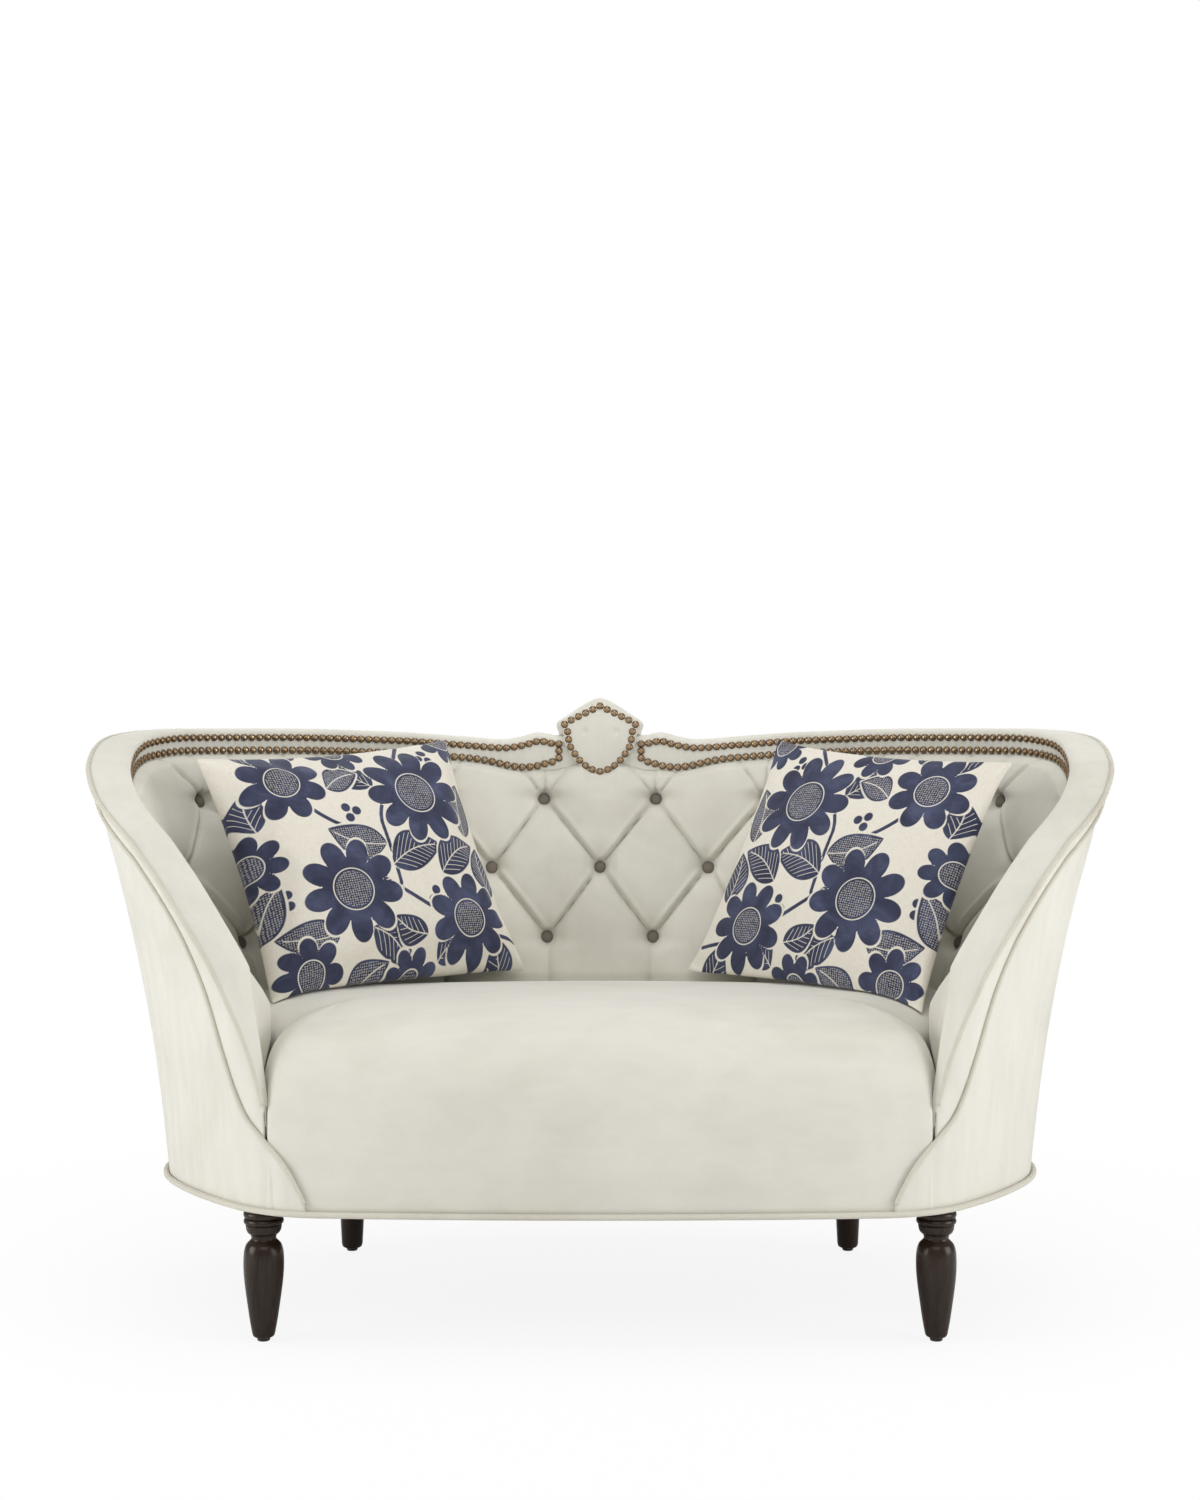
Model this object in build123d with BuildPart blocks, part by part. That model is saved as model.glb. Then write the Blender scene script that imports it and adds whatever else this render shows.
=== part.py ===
"""Tub settee with a tufted inside back, a crested rim, turned front legs and two throw pillows.

Millimetres. X runs along the width, -Y is the front, +Z is up and the floor is Z = 0.
"""
import math
import os

from build123d import *

# Plan of the base, seen from above: tangent arcs from the middle of the front to the rear.
FRONT_BOW_RADIUS = 5500
FRONT_CORNER_RADIUS = 185
SIDE_RADIUS = 800
WIDEST_RADIUS = 330
REAR_CORNER_RADIUS = 270
FRONT_BOW_END = 4.2
FRONT_CORNER_END = 47
SIDE_END = 62
WIDEST_END = 100
REAR_CORNER_END = 158

def walk_plan():
    """Arcs of the right half of the base: length so far, radius, angles and start point."""
    arcs = []
    x, y, length = 0.0, 0.0, 0.0
    ends = [FRONT_BOW_END, FRONT_CORNER_END, SIDE_END, WIDEST_END, REAR_CORNER_END, 180]
    radii = [FRONT_BOW_RADIUS, FRONT_CORNER_RADIUS, SIDE_RADIUS, WIDEST_RADIUS, REAR_CORNER_RADIUS, 0]
    start = 0
    for end, radius in zip(ends, radii):
        if end == 180:
            radius = x / math.sin(math.radians(180 - start))
        arcs.append((length, radius, start, end, x, y))
        x += radius * (math.sin(math.radians(end)) - math.sin(math.radians(start)))
        y += radius * (math.cos(math.radians(start)) - math.cos(math.radians(end)))
        length += radius * math.radians(end - start)
        start = end
    return arcs, length, y


PLAN, HALF_LENGTH, BASE_DEPTH = walk_plan()


# Heights above the floor.
BASE_HEIGHT = 189
RAIL_HEIGHT = 101
SEAT_HEIGHT = 478

# Outward flare of the shell: a straight and a growing share, less at the back.
FLARE_SLOPE = 0.07
FLARE_GROWTH = 0.00021
FLARE_BACK_SHARE = 0.5

# Rim height by distance along the base: the back from its middle, the arms from the middle of the front.
RIM_BACK = [
    (0, 880), (75, 881), (106, 886), (140, 878), (168, 874), (240, 879), (360, 887), (550, 892), (690, 891),
]
RIM_ARM = [(1005.6, 882), (905.6, 835), (845.6, 790), (792.6, 754), (754.6, 726), (685.6, 668)]
RIM_ABOVE_SEAT = [(621.6, 123), (575.6, 70), (544.6, 24), (510.6, -52), (484.6, -136)]
RIM_LINE = RIM_BACK + [(HALF_LENGTH - at, height) for at, height in RIM_ARM]
RIM_LINE += [(HALF_LENGTH - at, SEAT_HEIGHT + rise) for at, rise in RIM_ABOVE_SEAT]
RIM_FALL_START = HALF_LENGTH - 970.6
RIM_STEEP_START = HALF_LENGTH - 640.6
RIM_END = HALF_LENGTH - 486.6
RIM_WIDTH = 63
RIM_TIP_WIDTH = 12
RIM_TAPER_START = HALF_LENGTH - 570.6
RIM_CROWN = 5

# Lower edge of the boxing strip, then the free front edge of the outside panel.
STRIP_WIDTH = 25
STRIP_END = HALF_LENGTH - 512.6
PANEL_ABOVE_BASE = [(512.6, 156), (491.6, 117), (453.6, 73), (420.6, 14)]
PANEL_EDGE = [(HALF_LENGTH - at, BASE_HEIGHT + rise) for at, rise in PANEL_ABOVE_BASE]
PANEL_END = HALF_LENGTH - 422.6
PANEL_SEAM = 560

# Cloth, gaps and padding.
CLOTH = 3
PANEL_CLOTH = 2.5
GAP = 0.4
NAIL_BAND_HEIGHT = 42
NAIL_BAND_DIP = 22
NAIL_BAND_DIP_AT = 107
NAIL_BAND_DIP_SPAN = 60
NAIL_BAND_END = HALF_LENGTH - 576.6
FACING_START = HALF_LENGTH - 574.6
FACING_END = HALF_LENGTH - 508.6
FACING_LOW = SEAT_HEIGHT - 58
ARM_THICKNESS = 112
BACK_THICKNESS = 181
PAD_BOTTOM = SEAT_HEIGHT - 78
PAD_END = HALF_LENGTH - 582.6
PAD_DEPTH = 36
PAD_CROWN = 14
PAD_OVERHANG = 15
FOAM_DEPTH = 42
PAD_GAP = 3

# Tufting: pitch along the base, rows by height, depth of the folds and of the buttons.
TUFT_COUNT = 6
TUFT_PITCH = PAD_END / TUFT_COUNT
TUFT_MIDDLE_ROW = SEAT_HEIGHT + 175
TUFT_ROW_STEP = 117
TUFT_FOLD = 15
TUFT_PIT = 9
PAD_STEPS = 16
BUTTON_DIAMETER = 22
BUTTON_HEIGHT = 8
BUTTON_RAISE = 4.2
BUTTON_TAIL = 12
BUTTON_TAIL_DIAMETER = 4

# Wooden frame.
BOARD = 28
RAIL_INSET = 5
FRONT_RAIL_INSET = 13
RAIL_JOINT_REAR = 560
RAIL_JOINT_FRONT = HALF_LENGTH - 574.6
TOP_RAIL_HEIGHT = 40
TOP_RAIL_END = HALF_LENGTH - 576.6
POST_HALF_WIDTH = 20
POST_GAP = 0.9
BACK_POST_AT = 480
SIDE_POST_AT = 820
ARM_POST_AT = HALF_LENGTH - 594.6
TACK_RAIL_HEIGHT = 26
BLOCK_HALF_LENGTH = 78
BLOCK_DEPTH = 62
BLOCK_HEIGHT = 44
BLOCK_GAP = 2
SCREW_DIAMETER = 5
SCREW_LENGTH = 46
SCREW_SPREAD = 52

# Seat suspension.
SPRING_AT = [62, 175, 288, 398]
SPRING_WIRE = 3.8
SPRING_BAR = 24
SPRING_TURNS = 14
CLIP_WIDTH = 18
CLIP_SHEET = 2
DECK_THICKNESS = 2
SEAT_BULGE = 8
SEAT_FALL = 148
SEAT_FRONT_RUN = 205
SEAT_SIDE_FALL = 48
SEAT_SIDE_RUN = 85
SEAT_GAP = 2.6
SEAT_ARM_END = HALF_LENGTH - 620.6

# Legs.
FRONT_LEG_AT = HALF_LENGTH - 508.6
FRONT_LEG_INSET = 20
REAR_LEG_AT = 451
REAR_LEG_INSET = 57
GLIDE_DIAMETER = 18.5
GLIDE_HEIGHT = 5
BOLT_DIAMETER = 8
BOLT_IN_LEG = 40
BOLT_IN_BLOCK = 50
NUT_DIAMETER = 22
NUT_HEIGHT = 6

# Nails.
NAIL_DIAMETER = 12.2
NAIL_HEIGHT = 4
NAIL_SHANK = 1.8
NAIL_SHANK_LENGTH = 14
NAIL_PITCH = 13.5
UPPER_ROW_DROP = 13
LOWER_ROW_EDGE = 7
LOWER_ROW_CURL = [(72.5, 38.2), (84, 46), (107, 57)]
NAIL_ROW_START = 72.5
NAIL_ROW_END = HALF_LENGTH - 730.6

# Crest, measured from the rim in the middle of the back.
CREST_HEIGHT = RIM_BACK[0][1] + 69
CREST_HALF_WIDTH = 76
SHIELD_BOTTOM = RIM_BACK[0][1] - 70
SHIELD_THICKNESS = 8

# Throw pillows.
PILLOW_WIDTH = 455
PILLOW_DEPTH = 150
PILLOW_CLOTH = 2.5
PILLOW_YAW = 36
PILLOW_LEAN = 26
PILLOW_X = 385
PILLOW_Y = 62

# Piping.
PIPING_DIAMETER = 8
BASE_PIPING = 9
PIPING_GAP = 1.2


def between(points, at):
    """Smooth height through the points, without overshoot between them."""
    if at <= points[0][0]:
        return points[0][1]
    if at >= points[-1][0]:
        return points[-1][1]
    steps = []
    for (x0, y0), (x1, y1) in zip(points, points[1:]):
        steps.append((y1 - y0) / (x1 - x0))
    slopes = [steps[0]]
    for before, after in zip(steps, steps[1:]):
        slopes.append(0 if before * after <= 0 else 2 * before * after / (before + after))
    slopes.append(steps[-1])
    for i, ((x0, y0), (x1, y1)) in enumerate(zip(points, points[1:])):
        if at <= x1:
            width = x1 - x0
            t = (at - x0) / width
            rise = y0 * (1 + 2 * t) * (1 - t) ** 2 + y1 * t * t * (3 - 2 * t)
            return rise + width * (slopes[i] * t * (1 - t) ** 2 - slopes[i + 1] * t * t * (1 - t))


def flare(height):
    rise = max(height - BASE_HEIGHT, 0)
    return FLARE_SLOPE * rise + FLARE_GROWTH * rise * rise


REAR_REACH = flare(RIM_LINE[0][1]) * FLARE_BACK_SHARE + PIPING_DIAMETER + GAP
FRONT_REACH = BASE_PIPING + PIPING_GAP
FRONT_Y = -(BASE_DEPTH + REAR_REACH - FRONT_REACH) / 2


def plan(distance):
    """Point of the base line and its tangent angle, by distance from the middle of the back."""
    from_front = HALF_LENGTH - abs(distance)
    for length, radius, start, end, x, y in PLAN:
        if from_front <= length + radius * math.radians(end - start) or end == 180:
            angle = start + math.degrees((from_front - length) / radius)
            px = x + radius * (math.sin(math.radians(angle)) - math.sin(math.radians(start)))
            py = y + radius * (math.cos(math.radians(start)) - math.cos(math.radians(angle)))
            side = 1 if distance >= 0 else -1
            return side * px, py + FRONT_Y, angle, side


def outward(distance):
    angle, side = plan(distance)[2:]
    return side * math.sin(math.radians(angle)), -math.cos(math.radians(angle))


def spot(distance, reach, height=0):
    """Point at an outward reach from the base line."""
    x, y = plan(distance)[:2]
    nx, ny = outward(distance)
    return x + reach * nx, y + reach * ny, height


def station(distance):
    """Upright plane across the base line: its x points outward and its y points up."""
    x, y = plan(distance)[:2]
    nx, ny = outward(distance)
    return Plane(origin=(x, y, 0), x_dir=(nx, ny, 0), z_dir=(ny, -nx, 0))


def section(distance, points):
    with BuildSketch(station(distance)) as face:
        with BuildLine():
            Polyline(*points, close=True)
        make_face()
    return face.sketch


def spread(start, end, step):
    count = max(2, math.ceil((end - start) / step))
    return [start + (end - start) * i / count for i in range(count + 1)]


def mirrored(distances):
    return [-d for d in reversed(distances) if d > 0] + list(distances)


def share(distance):
    angle = math.radians(plan(distance)[2])
    back = FLARE_BACK_SHARE if math.cos(angle) < 0 else 0
    return math.sin(angle) ** 2 + back * math.cos(angle) ** 2


def outer(distance, height):
    return flare(height) * share(distance)


def rim(distance):
    return between(RIM_LINE, abs(distance))


def steep(distance):
    """Factor by which a thickness across the falling rim grows in an upright section."""
    at = min(abs(distance), RIM_END - 4)
    slope = (rim(at + 4) - rim(at - 4)) / 8
    return min(math.sqrt(1 + slope * slope), 3.2)


def rim_width(distance):
    past = (abs(distance) - RIM_TAPER_START) / (RIM_END - RIM_TAPER_START)
    return RIM_WIDTH - (RIM_WIDTH - RIM_TIP_WIDTH) * min(max(past, 0), 1)


def rim_outer(distance):
    return outer(distance, rim(distance))


def rim_inner(distance):
    return rim_outer(distance) - rim_width(distance)


def panel_top(distance):
    at = abs(distance)
    if at >= STRIP_END:
        return between(PANEL_EDGE, at)
    joined = PANEL_EDGE[0][1]
    return max(rim(at) - STRIP_WIDTH * steep(at), joined)


def seat_reach(distance):
    """Reach of the inside face where it meets the seat."""
    angle = math.radians(plan(distance)[2])
    back = math.cos(angle) ** 2 if math.cos(angle) < 0 else 0
    return outer(distance, SEAT_HEIGHT) - ARM_THICKNESS - (BACK_THICKNESS - ARM_THICKNESS) * back


def shield_edge(x):
    """Height of the lower outline of the crest's shield."""
    rises = [(0, 0), (18, 5), (45, 28), (72, 54)]
    return SHIELD_BOTTOM + between(rises, abs(x))


def band_height(distance):
    """Height of the nail band, which dips on both sides of the crest."""
    past = (abs(distance) - NAIL_BAND_DIP_AT) / NAIL_BAND_DIP_SPAN
    return NAIL_BAND_HEIGHT + NAIL_BAND_DIP * math.exp(-past * past)


def pad_top(distance):
    under_band = rim(distance) - band_height(distance) - PAD_GAP
    if abs(distance) < 72:
        return min(under_band, shield_edge(distance) - 4)
    return under_band


def tuft(distance, height):
    """Depth of the folds between the buttons, 0 on the crown of each diamond."""
    fade = min(max(0.3 + 0.7 * (pad_top(distance) - height) / 75, 0), 1)
    across = distance / TUFT_PITCH
    up = (height - TUFT_MIDDLE_ROW) / (2 * TUFT_ROW_STEP)
    if abs(up) > 0.5:
        fold = abs(math.sin(math.pi * (across + 0.5)))
        return fade * TUFT_FOLD * 0.55 * (1 - fold ** 0.5)
    one = abs(math.sin(math.pi * (across + up)))
    two = abs(math.sin(math.pi * (across - up)))
    pit = TUFT_PIT * max(0, 1 - 2.2 * (one + two))
    return fade * (TUFT_FOLD * (1 - (one * two) ** 0.5) + pit)


def inside(distance, height):
    """Reach of the inside face without its folds."""
    low = seat_reach(distance)
    high = rim_inner(distance) - PAD_OVERHANG
    top = pad_top(distance)
    t = min(max((height - SEAT_HEIGHT) / max(top - SEAT_HEIGHT, 1), 0), 1)
    crown = PAD_CROWN * min(max((top - SEAT_HEIGHT) / 200, 0), 1)
    return low + (high - low) * t - crown * math.sin(math.pi * t)


def pad_back(distance, height):
    top = pad_top(distance)
    t = min(max((height - SEAT_HEIGHT) / max(top - SEAT_HEIGHT, 1), 0), 1)
    low = seat_reach(distance) + PAD_DEPTH
    return low + (rim_inner(distance) + 1.5 - low) * t


def post_inner(distance, height):
    return outer(distance, height) - RAIL_INSET - BOARD


def slab(distance, low, high, back, front, steps=4):
    """Upright section between two reaches that follow the flare."""
    heights = [low + (high - low) * i / steps for i in range(steps + 1)]
    points = [(back(distance, z), z) for z in heights]
    points += [(front(distance, z), z) for z in reversed(heights)]
    return section(distance, points)


RIM_STATIONS = mirrored(
    spread(0, 240, 30)
    + spread(240, RIM_FALL_START, 47)[1:]
    + spread(RIM_FALL_START, RIM_STEEP_START, 37)[1:]
    + spread(RIM_STEEP_START, STRIP_END, 16.1)[1:]
    + spread(STRIP_END, RIM_END, 13)[1:]
)
RAIL_TOP = BASE_HEIGHT + RAIL_HEIGHT


def stations_to(limit):
    kept = [d for d in RIM_STATIONS if abs(d) < limit - 6]
    return [-limit] + kept + [limit]


def top_rail_low(distance):
    return rim(distance) - (CLOTH + GAP + TOP_RAIL_HEIGHT) * steep(distance)


# Seat frame: four bent rails that meet end to end.
def rail_section(distance, inset):
    inner = -inset - BOARD
    return section(distance, [(inner, BASE_HEIGHT), (-inset, BASE_HEIGHT), (-inset, RAIL_TOP), (inner, RAIL_TOP)])


def screw_spots(leg_at):
    spots = []
    for sign in (1, -1):
        for shift in (-SCREW_SPREAD, SCREW_SPREAD):
            at = sign * (leg_at + shift)
            nx, ny = outward(at)
            start = spot(at, -BOARD - FRONT_RAIL_INSET - 8, BASE_HEIGHT + BLOCK_HEIGHT / 2)
            spots.append(Plane(origin=start, z_dir=(nx, ny, 0)))
    return spots


REAR_BLOCK_AT = REAR_LEG_AT
FRONT_BLOCK_AT = FRONT_LEG_AT + 6
SCREWS = screw_spots(REAR_BLOCK_AT) + screw_spots(FRONT_BLOCK_AT)

with BuildPart() as rear_rail:
    loft([rail_section(d, RAIL_INSET) for d in mirrored(spread(0, RAIL_JOINT_REAR, 70))], ruled=True)
    with Locations(*SCREWS):
        Cylinder(SCREW_DIAMETER / 2 + 0.1, SCREW_LENGTH + 1, mode=Mode.SUBTRACT)

with BuildPart() as side_rail_right:
    loft([rail_section(d, RAIL_INSET) for d in spread(RAIL_JOINT_REAR + GAP, RAIL_JOINT_FRONT, 64)], ruled=True)

with BuildPart() as side_rail_left:
    loft([rail_section(-d, RAIL_INSET) for d in spread(RAIL_JOINT_REAR + GAP, RAIL_JOINT_FRONT, 64)], ruled=True)

FRONT_SPAN = spread(RAIL_JOINT_FRONT + GAP, PANEL_END, 22) + spread(PANEL_END, HALF_LENGTH - 0.5, 105)[1:]
with BuildPart() as front_rail:
    right_half = [rail_section(d, FRONT_RAIL_INSET) for d in FRONT_SPAN]
    left_half = [rail_section(-d, FRONT_RAIL_INSET) for d in reversed(FRONT_SPAN)]
    loft(right_half + left_half, ruled=True)
    with Locations(*SCREWS):
        Cylinder(SCREW_DIAMETER / 2 + 0.1, SCREW_LENGTH + 1, mode=Mode.SUBTRACT)


def leg_spots(at, inset):
    return [spot(at, -inset, BASE_HEIGHT), spot(-at, -inset, BASE_HEIGHT)]


FRONT_LEGS = leg_spots(FRONT_LEG_AT, FRONT_LEG_INSET)
REAR_LEGS = leg_spots(REAR_LEG_AT, REAR_LEG_INSET)
LEGS = FRONT_LEGS + REAR_LEGS


def block_outline(at, side, inset):
    """Plan of a corner block that fills the inside of the rail."""
    inner = -inset - BOARD - BLOCK_GAP
    steps = [-1, -0.6, -0.2, 0.2, 0.6, 1]
    points = [spot(side * (at + k * BLOCK_HALF_LENGTH), inner)[:2] for k in steps]
    points.append(spot(side * (at + 0.6 * BLOCK_HALF_LENGTH), inner - BLOCK_DEPTH)[:2])
    points.append(spot(side * (at - 0.6 * BLOCK_HALF_LENGTH), inner - BLOCK_DEPTH)[:2])
    return points


# The front legs stand under the front rail itself, so their bolts run up through the rail's foot.
with BuildPart() as corner_blocks:
    with BuildSketch(Plane.XY.offset(BASE_HEIGHT)):
        for at, inset in ((REAR_BLOCK_AT, RAIL_INSET), (FRONT_BLOCK_AT, FRONT_RAIL_INSET)):
            for side in (1, -1):
                with BuildLine():
                    Polyline(*block_outline(at, side, inset), close=True)
                make_face()
    extrude(amount=BLOCK_HEIGHT)
    with Locations(*SCREWS):
        Cylinder(SCREW_DIAMETER / 2 + 0.1, SCREW_LENGTH + 1, mode=Mode.SUBTRACT)
    with Locations(*REAR_LEGS):
        Cylinder(BOLT_DIAMETER / 2 + 0.1, 3 * BLOCK_HEIGHT, mode=Mode.SUBTRACT)

with BuildPart() as bolt_room:
    with Locations(*FRONT_LEGS):
        Cylinder(BOLT_DIAMETER / 2 + 0.1, 2 * BOLT_IN_BLOCK, align=(Align.CENTER, Align.CENTER, Align.CENTER))
front_rail.part = front_rail.part - bolt_room.part

with BuildPart() as block_screws:
    with Locations(*SCREWS):
        Cylinder(SCREW_DIAMETER / 2, SCREW_LENGTH)


# Posts stand on the rails and carry the top rail.
def post_sections(at, side):
    sections = []
    for shift in (-POST_HALF_WIDTH, 0, POST_HALF_WIDTH):
        d = side * at + shift
        low = RAIL_TOP + GAP
        high = top_rail_low(d) - POST_GAP
        sections.append(slab(d, low, high, post_inner, lambda a, z: outer(a, z) - RAIL_INSET))
    return sections


with BuildPart() as back_post_centre:
    loft(post_sections(0, 1), ruled=True)

with BuildPart() as back_post_right:
    loft(post_sections(BACK_POST_AT, 1), ruled=True)

with BuildPart() as back_post_left:
    loft(post_sections(BACK_POST_AT, -1), ruled=True)

with BuildPart() as side_post_right:
    loft(post_sections(SIDE_POST_AT, 1), ruled=True)

with BuildPart() as side_post_left:
    loft(post_sections(SIDE_POST_AT, -1), ruled=True)

with BuildPart() as arm_post_right:
    loft(post_sections(ARM_POST_AT, 1), ruled=True)

with BuildPart() as arm_post_left:
    loft(post_sections(ARM_POST_AT, -1), ruled=True)


def tack_section(distance):
    low = PAD_BOTTOM - GAP - TACK_RAIL_HEIGHT
    high = PAD_BOTTOM - GAP
    back = post_inner(distance, low) - GAP
    front = seat_reach(distance) + 3
    return section(distance, [(front, low), (back, low), (back, high), (front, high)])


with BuildPart() as tack_rail:
    loft([tack_section(d) for d in stations_to(SEAT_ARM_END)], ruled=True)


def top_rail_section(distance):
    high = rim(distance) - (CLOTH + GAP) * steep(distance)
    low = top_rail_low(distance)
    inner = rim_inner(distance) + CLOTH + 0.8
    edge = CLOTH + 1.5
    return section(
        distance,
        [(inner, low), (outer(distance, low) - edge, low), (outer(distance, high) - edge, high), (inner, high)],
    )


with BuildPart() as top_rail:
    loft([top_rail_section(d) for d in stations_to(TOP_RAIL_END)], ruled=True)


# Cover of the outside, in three panels sewn at the rear corners.
def panel_section(distance):
    return slab(
        distance,
        BASE_HEIGHT,
        panel_top(distance) - GAP,
        lambda d, z: outer(d, z) - PANEL_CLOTH,
        outer,
    )


with BuildPart() as outside_back:
    loft([panel_section(d) for d in stations_to(PANEL_SEAM)], ruled=True)

ARM_STATIONS = [d for d in RIM_STATIONS if PANEL_SEAM + 10 < d < STRIP_END - 8]
ARM_STATIONS = [PANEL_SEAM + GAP] + ARM_STATIONS + spread(STRIP_END, PANEL_END, 13)
with BuildPart() as outside_arm_right:
    loft([panel_section(d) for d in ARM_STATIONS], ruled=True)

with BuildPart() as outside_arm_left:
    loft([panel_section(-d) for d in ARM_STATIONS], ruled=True)


def strip_section(distance):
    low = panel_top(distance)
    high = rim(distance) - (CLOTH + GAP) * steep(distance)
    return slab(distance, low, high, lambda d, z: outer(d, z) - CLOTH, outer, 1)


with BuildPart() as boxing_strip:
    loft([strip_section(d) for d in stations_to(STRIP_END)], ruled=True)


def rim_section(distance):
    high = rim(distance)
    low = high - CLOTH * steep(distance)
    left, right = rim_inner(distance), rim_outer(distance)
    middle = (left + right) / 2
    return section(
        distance,
        [(left, low), (middle, low + 0.5), (right, low), (right, high), (middle, high + RIM_CROWN), (left, high)],
    )


with BuildPart() as rim_band:
    loft([rim_section(d) for d in stations_to(RIM_END)], ruled=True)


def nail_band_section(distance):
    high = rim(distance) - (CLOTH + GAP) * steep(distance)
    low = rim(distance) - band_height(distance)
    inner = rim_inner(distance)
    return section(distance, [(inner, low), (inner + CLOTH, low), (inner + CLOTH, high), (inner, high)])


with BuildPart() as nail_band:
    loft([nail_band_section(d) for d in stations_to(NAIL_BAND_END)], ruled=True)


def facing_section(distance):
    """Cloth that closes the front of the arm between the rim and the seat."""
    high = rim(distance) - (CLOTH + GAP) * steep(distance)
    low = min(rim(distance) - NAIL_BAND_HEIGHT, FACING_LOW)
    inner = rim_inner(distance)
    return section(distance, [(inner, low), (inner + CLOTH, low), (inner + CLOTH, high), (inner, high)])


with BuildPart() as arm_facing_right:
    loft([facing_section(d) for d in spread(FACING_START, FACING_END, 16)], ruled=True)

with BuildPart() as arm_facing_left:
    loft([facing_section(-d) for d in spread(FACING_START, FACING_END, 16)], ruled=True)


# Piping follows the outer edge of the rim and the upper edge of the outside panels.
def cord_section(distance, reach, height):
    radius = PIPING_DIAMETER / 2
    tall = radius * steep(distance)
    ring = [math.radians(22.5 + 45 * i) for i in range(8)]
    return section(distance, [(reach + radius * math.cos(a), height + tall * math.sin(a)) for a in ring])


def rim_cord(distance):
    height = rim(distance) - PIPING_DIAMETER / 2
    tall = PIPING_DIAMETER / 2 * steep(distance)
    reach = max(outer(distance, height + tall), rim_outer(distance)) + PIPING_DIAMETER / 2 + GAP
    return cord_section(distance, reach, height)


def panel_cord(distance):
    height = panel_top(distance)
    tall = PIPING_DIAMETER / 2 * steep(distance)
    reach = outer(distance, height + tall) + PIPING_DIAMETER / 2 + GAP
    return cord_section(distance, reach, height)


with BuildPart() as rim_piping:
    loft([rim_cord(d) for d in stations_to(RIM_END)], ruled=True)

PANEL_CORD_HALF = [d for d in RIM_STATIONS if 0 <= d < STRIP_END - 8] + spread(STRIP_END, PANEL_END - 26, 13)
with BuildPart() as panel_piping:
    loft([panel_cord(d) for d in mirrored(PANEL_CORD_HALF)], ruled=True)


def plan_outline(inset):
    """Closed outline of the base, drawn in by an inset."""
    edges = []
    for side in (1, -1):
        for length, radius, start, end, x, y in PLAN:
            marks = []
            for share_of_arc in (0, 0.5, 1):
                angle = start + (end - start) * share_of_arc
                at = HALF_LENGTH - length - radius * math.radians(angle - start)
                marks.append(spot(side * at if at > 1e-6 else side * 1e-9, -inset)[:2])
            edges.append(ThreePointArc(*marks))
    return edges


def plan_face(inset, height):
    with BuildSketch(Plane.XY.offset(height)) as face:
        with BuildLine():
            plan_outline(inset)
        make_face()
    return face.sketch


with BuildPart() as base_piping:
    extrude(plan_face(-FRONT_REACH, BASE_HEIGHT + GAP), amount=BASE_PIPING)
    extrude(plan_face(-PIPING_GAP, BASE_HEIGHT + GAP), amount=BASE_PIPING, mode=Mode.SUBTRACT)
    fillet(base_piping.edges().filter_by(lambda e: e.length > 20), radius=BASE_PIPING * 0.4)

with BuildPart() as dust_cover:
    extrude(plan_face(2, BASE_HEIGHT - GAP - 1), amount=1)
    with Locations(*LEGS):
        Cylinder(34, 20, mode=Mode.SUBTRACT)


# Tufted inside back and arms, the foam behind it and the webbing that carries the foam.
PAD_HALF = [TUFT_PITCH / 4 * i for i in range(4 * TUFT_COUNT + 1)]
PAD_STATIONS = mirrored(sorted(PAD_HALF + [22, 72]))


def pad_line(distance):
    """Front of the pad from the seat up, with its folds."""
    top = pad_top(distance)
    heights = [SEAT_HEIGHT + (top - SEAT_HEIGHT) * i / PAD_STEPS for i in range(PAD_STEPS + 1)]
    return [(inside(distance, height) + tuft(distance, height), height) for height in heights]


def pad_section(distance):
    low = PAD_BOTTOM
    top = pad_top(distance)
    front = [(inside(distance, SEAT_HEIGHT) + 3, low)] + pad_line(distance)
    back = [(pad_back(distance, top), top)]
    back.append((pad_back(distance, SEAT_HEIGHT), SEAT_HEIGHT))
    back.append((pad_back(distance, SEAT_HEIGHT), low))
    return section(distance, front + back)


def button_rows():
    places = []
    for row in (-1, 0, 1):
        height = TUFT_MIDDLE_ROW + row * TUFT_ROW_STEP
        shift = 0 if row == 0 else 0.5
        for step in range(-7, 8):
            at = (step + shift) * TUFT_PITCH
            if abs(at) < PAD_END - 40 and height < pad_top(at) - 26:
                places.append((at, height))
    return places


def pad_depth(distance, height):
    """Depth of the lofted fold at a height, straight between the points of its line."""
    line = pad_line(distance)
    height = min(max(height, line[0][1]), line[-1][1])
    for (r0, z0), (r1, z1) in zip(line, line[1:]):
        if z0 <= height <= z1:
            return r0 + (r1 - r0) * (height - z0) / (z1 - z0) - inside(distance, height)


def button_plane(at, height):
    lean = math.atan2(inside(at, height + 10) - inside(at, height - 10), 20)
    nx, ny = outward(at)
    depths = [pad_depth(at, height + k * BUTTON_DIAMETER / 2) for k in (-1.1, -0.5, 0, 0.5, 1.1)]
    step = TUFT_PITCH / 4
    for side in (-1, 1):
        beside = pad_depth(at + side * step, height)
        depths.append(depths[2] + (beside - depths[2]) * 0.56 * BUTTON_DIAMETER / step)
    reach = inside(at, height) + min(depths) - BUTTON_RAISE
    normal = (-nx * math.cos(lean), -ny * math.cos(lean), math.sin(lean))
    return Plane(origin=spot(at, reach, height), z_dir=normal)


BUTTONS = [button_plane(at, height) for at, height in button_rows()]

with BuildPart() as inside_back:
    loft([pad_section(d) for d in PAD_STATIONS], ruled=True)


def dome(radius, low, high):
    """Arc of a round head from its edge to its top, centred on the axis."""
    rise = high - low
    ball = (radius * radius + rise * rise) / (2 * rise)
    angle = math.degrees(math.asin(radius / ball))
    return CenterArc((0, high - ball), ball, 90 - angle, angle)


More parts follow.
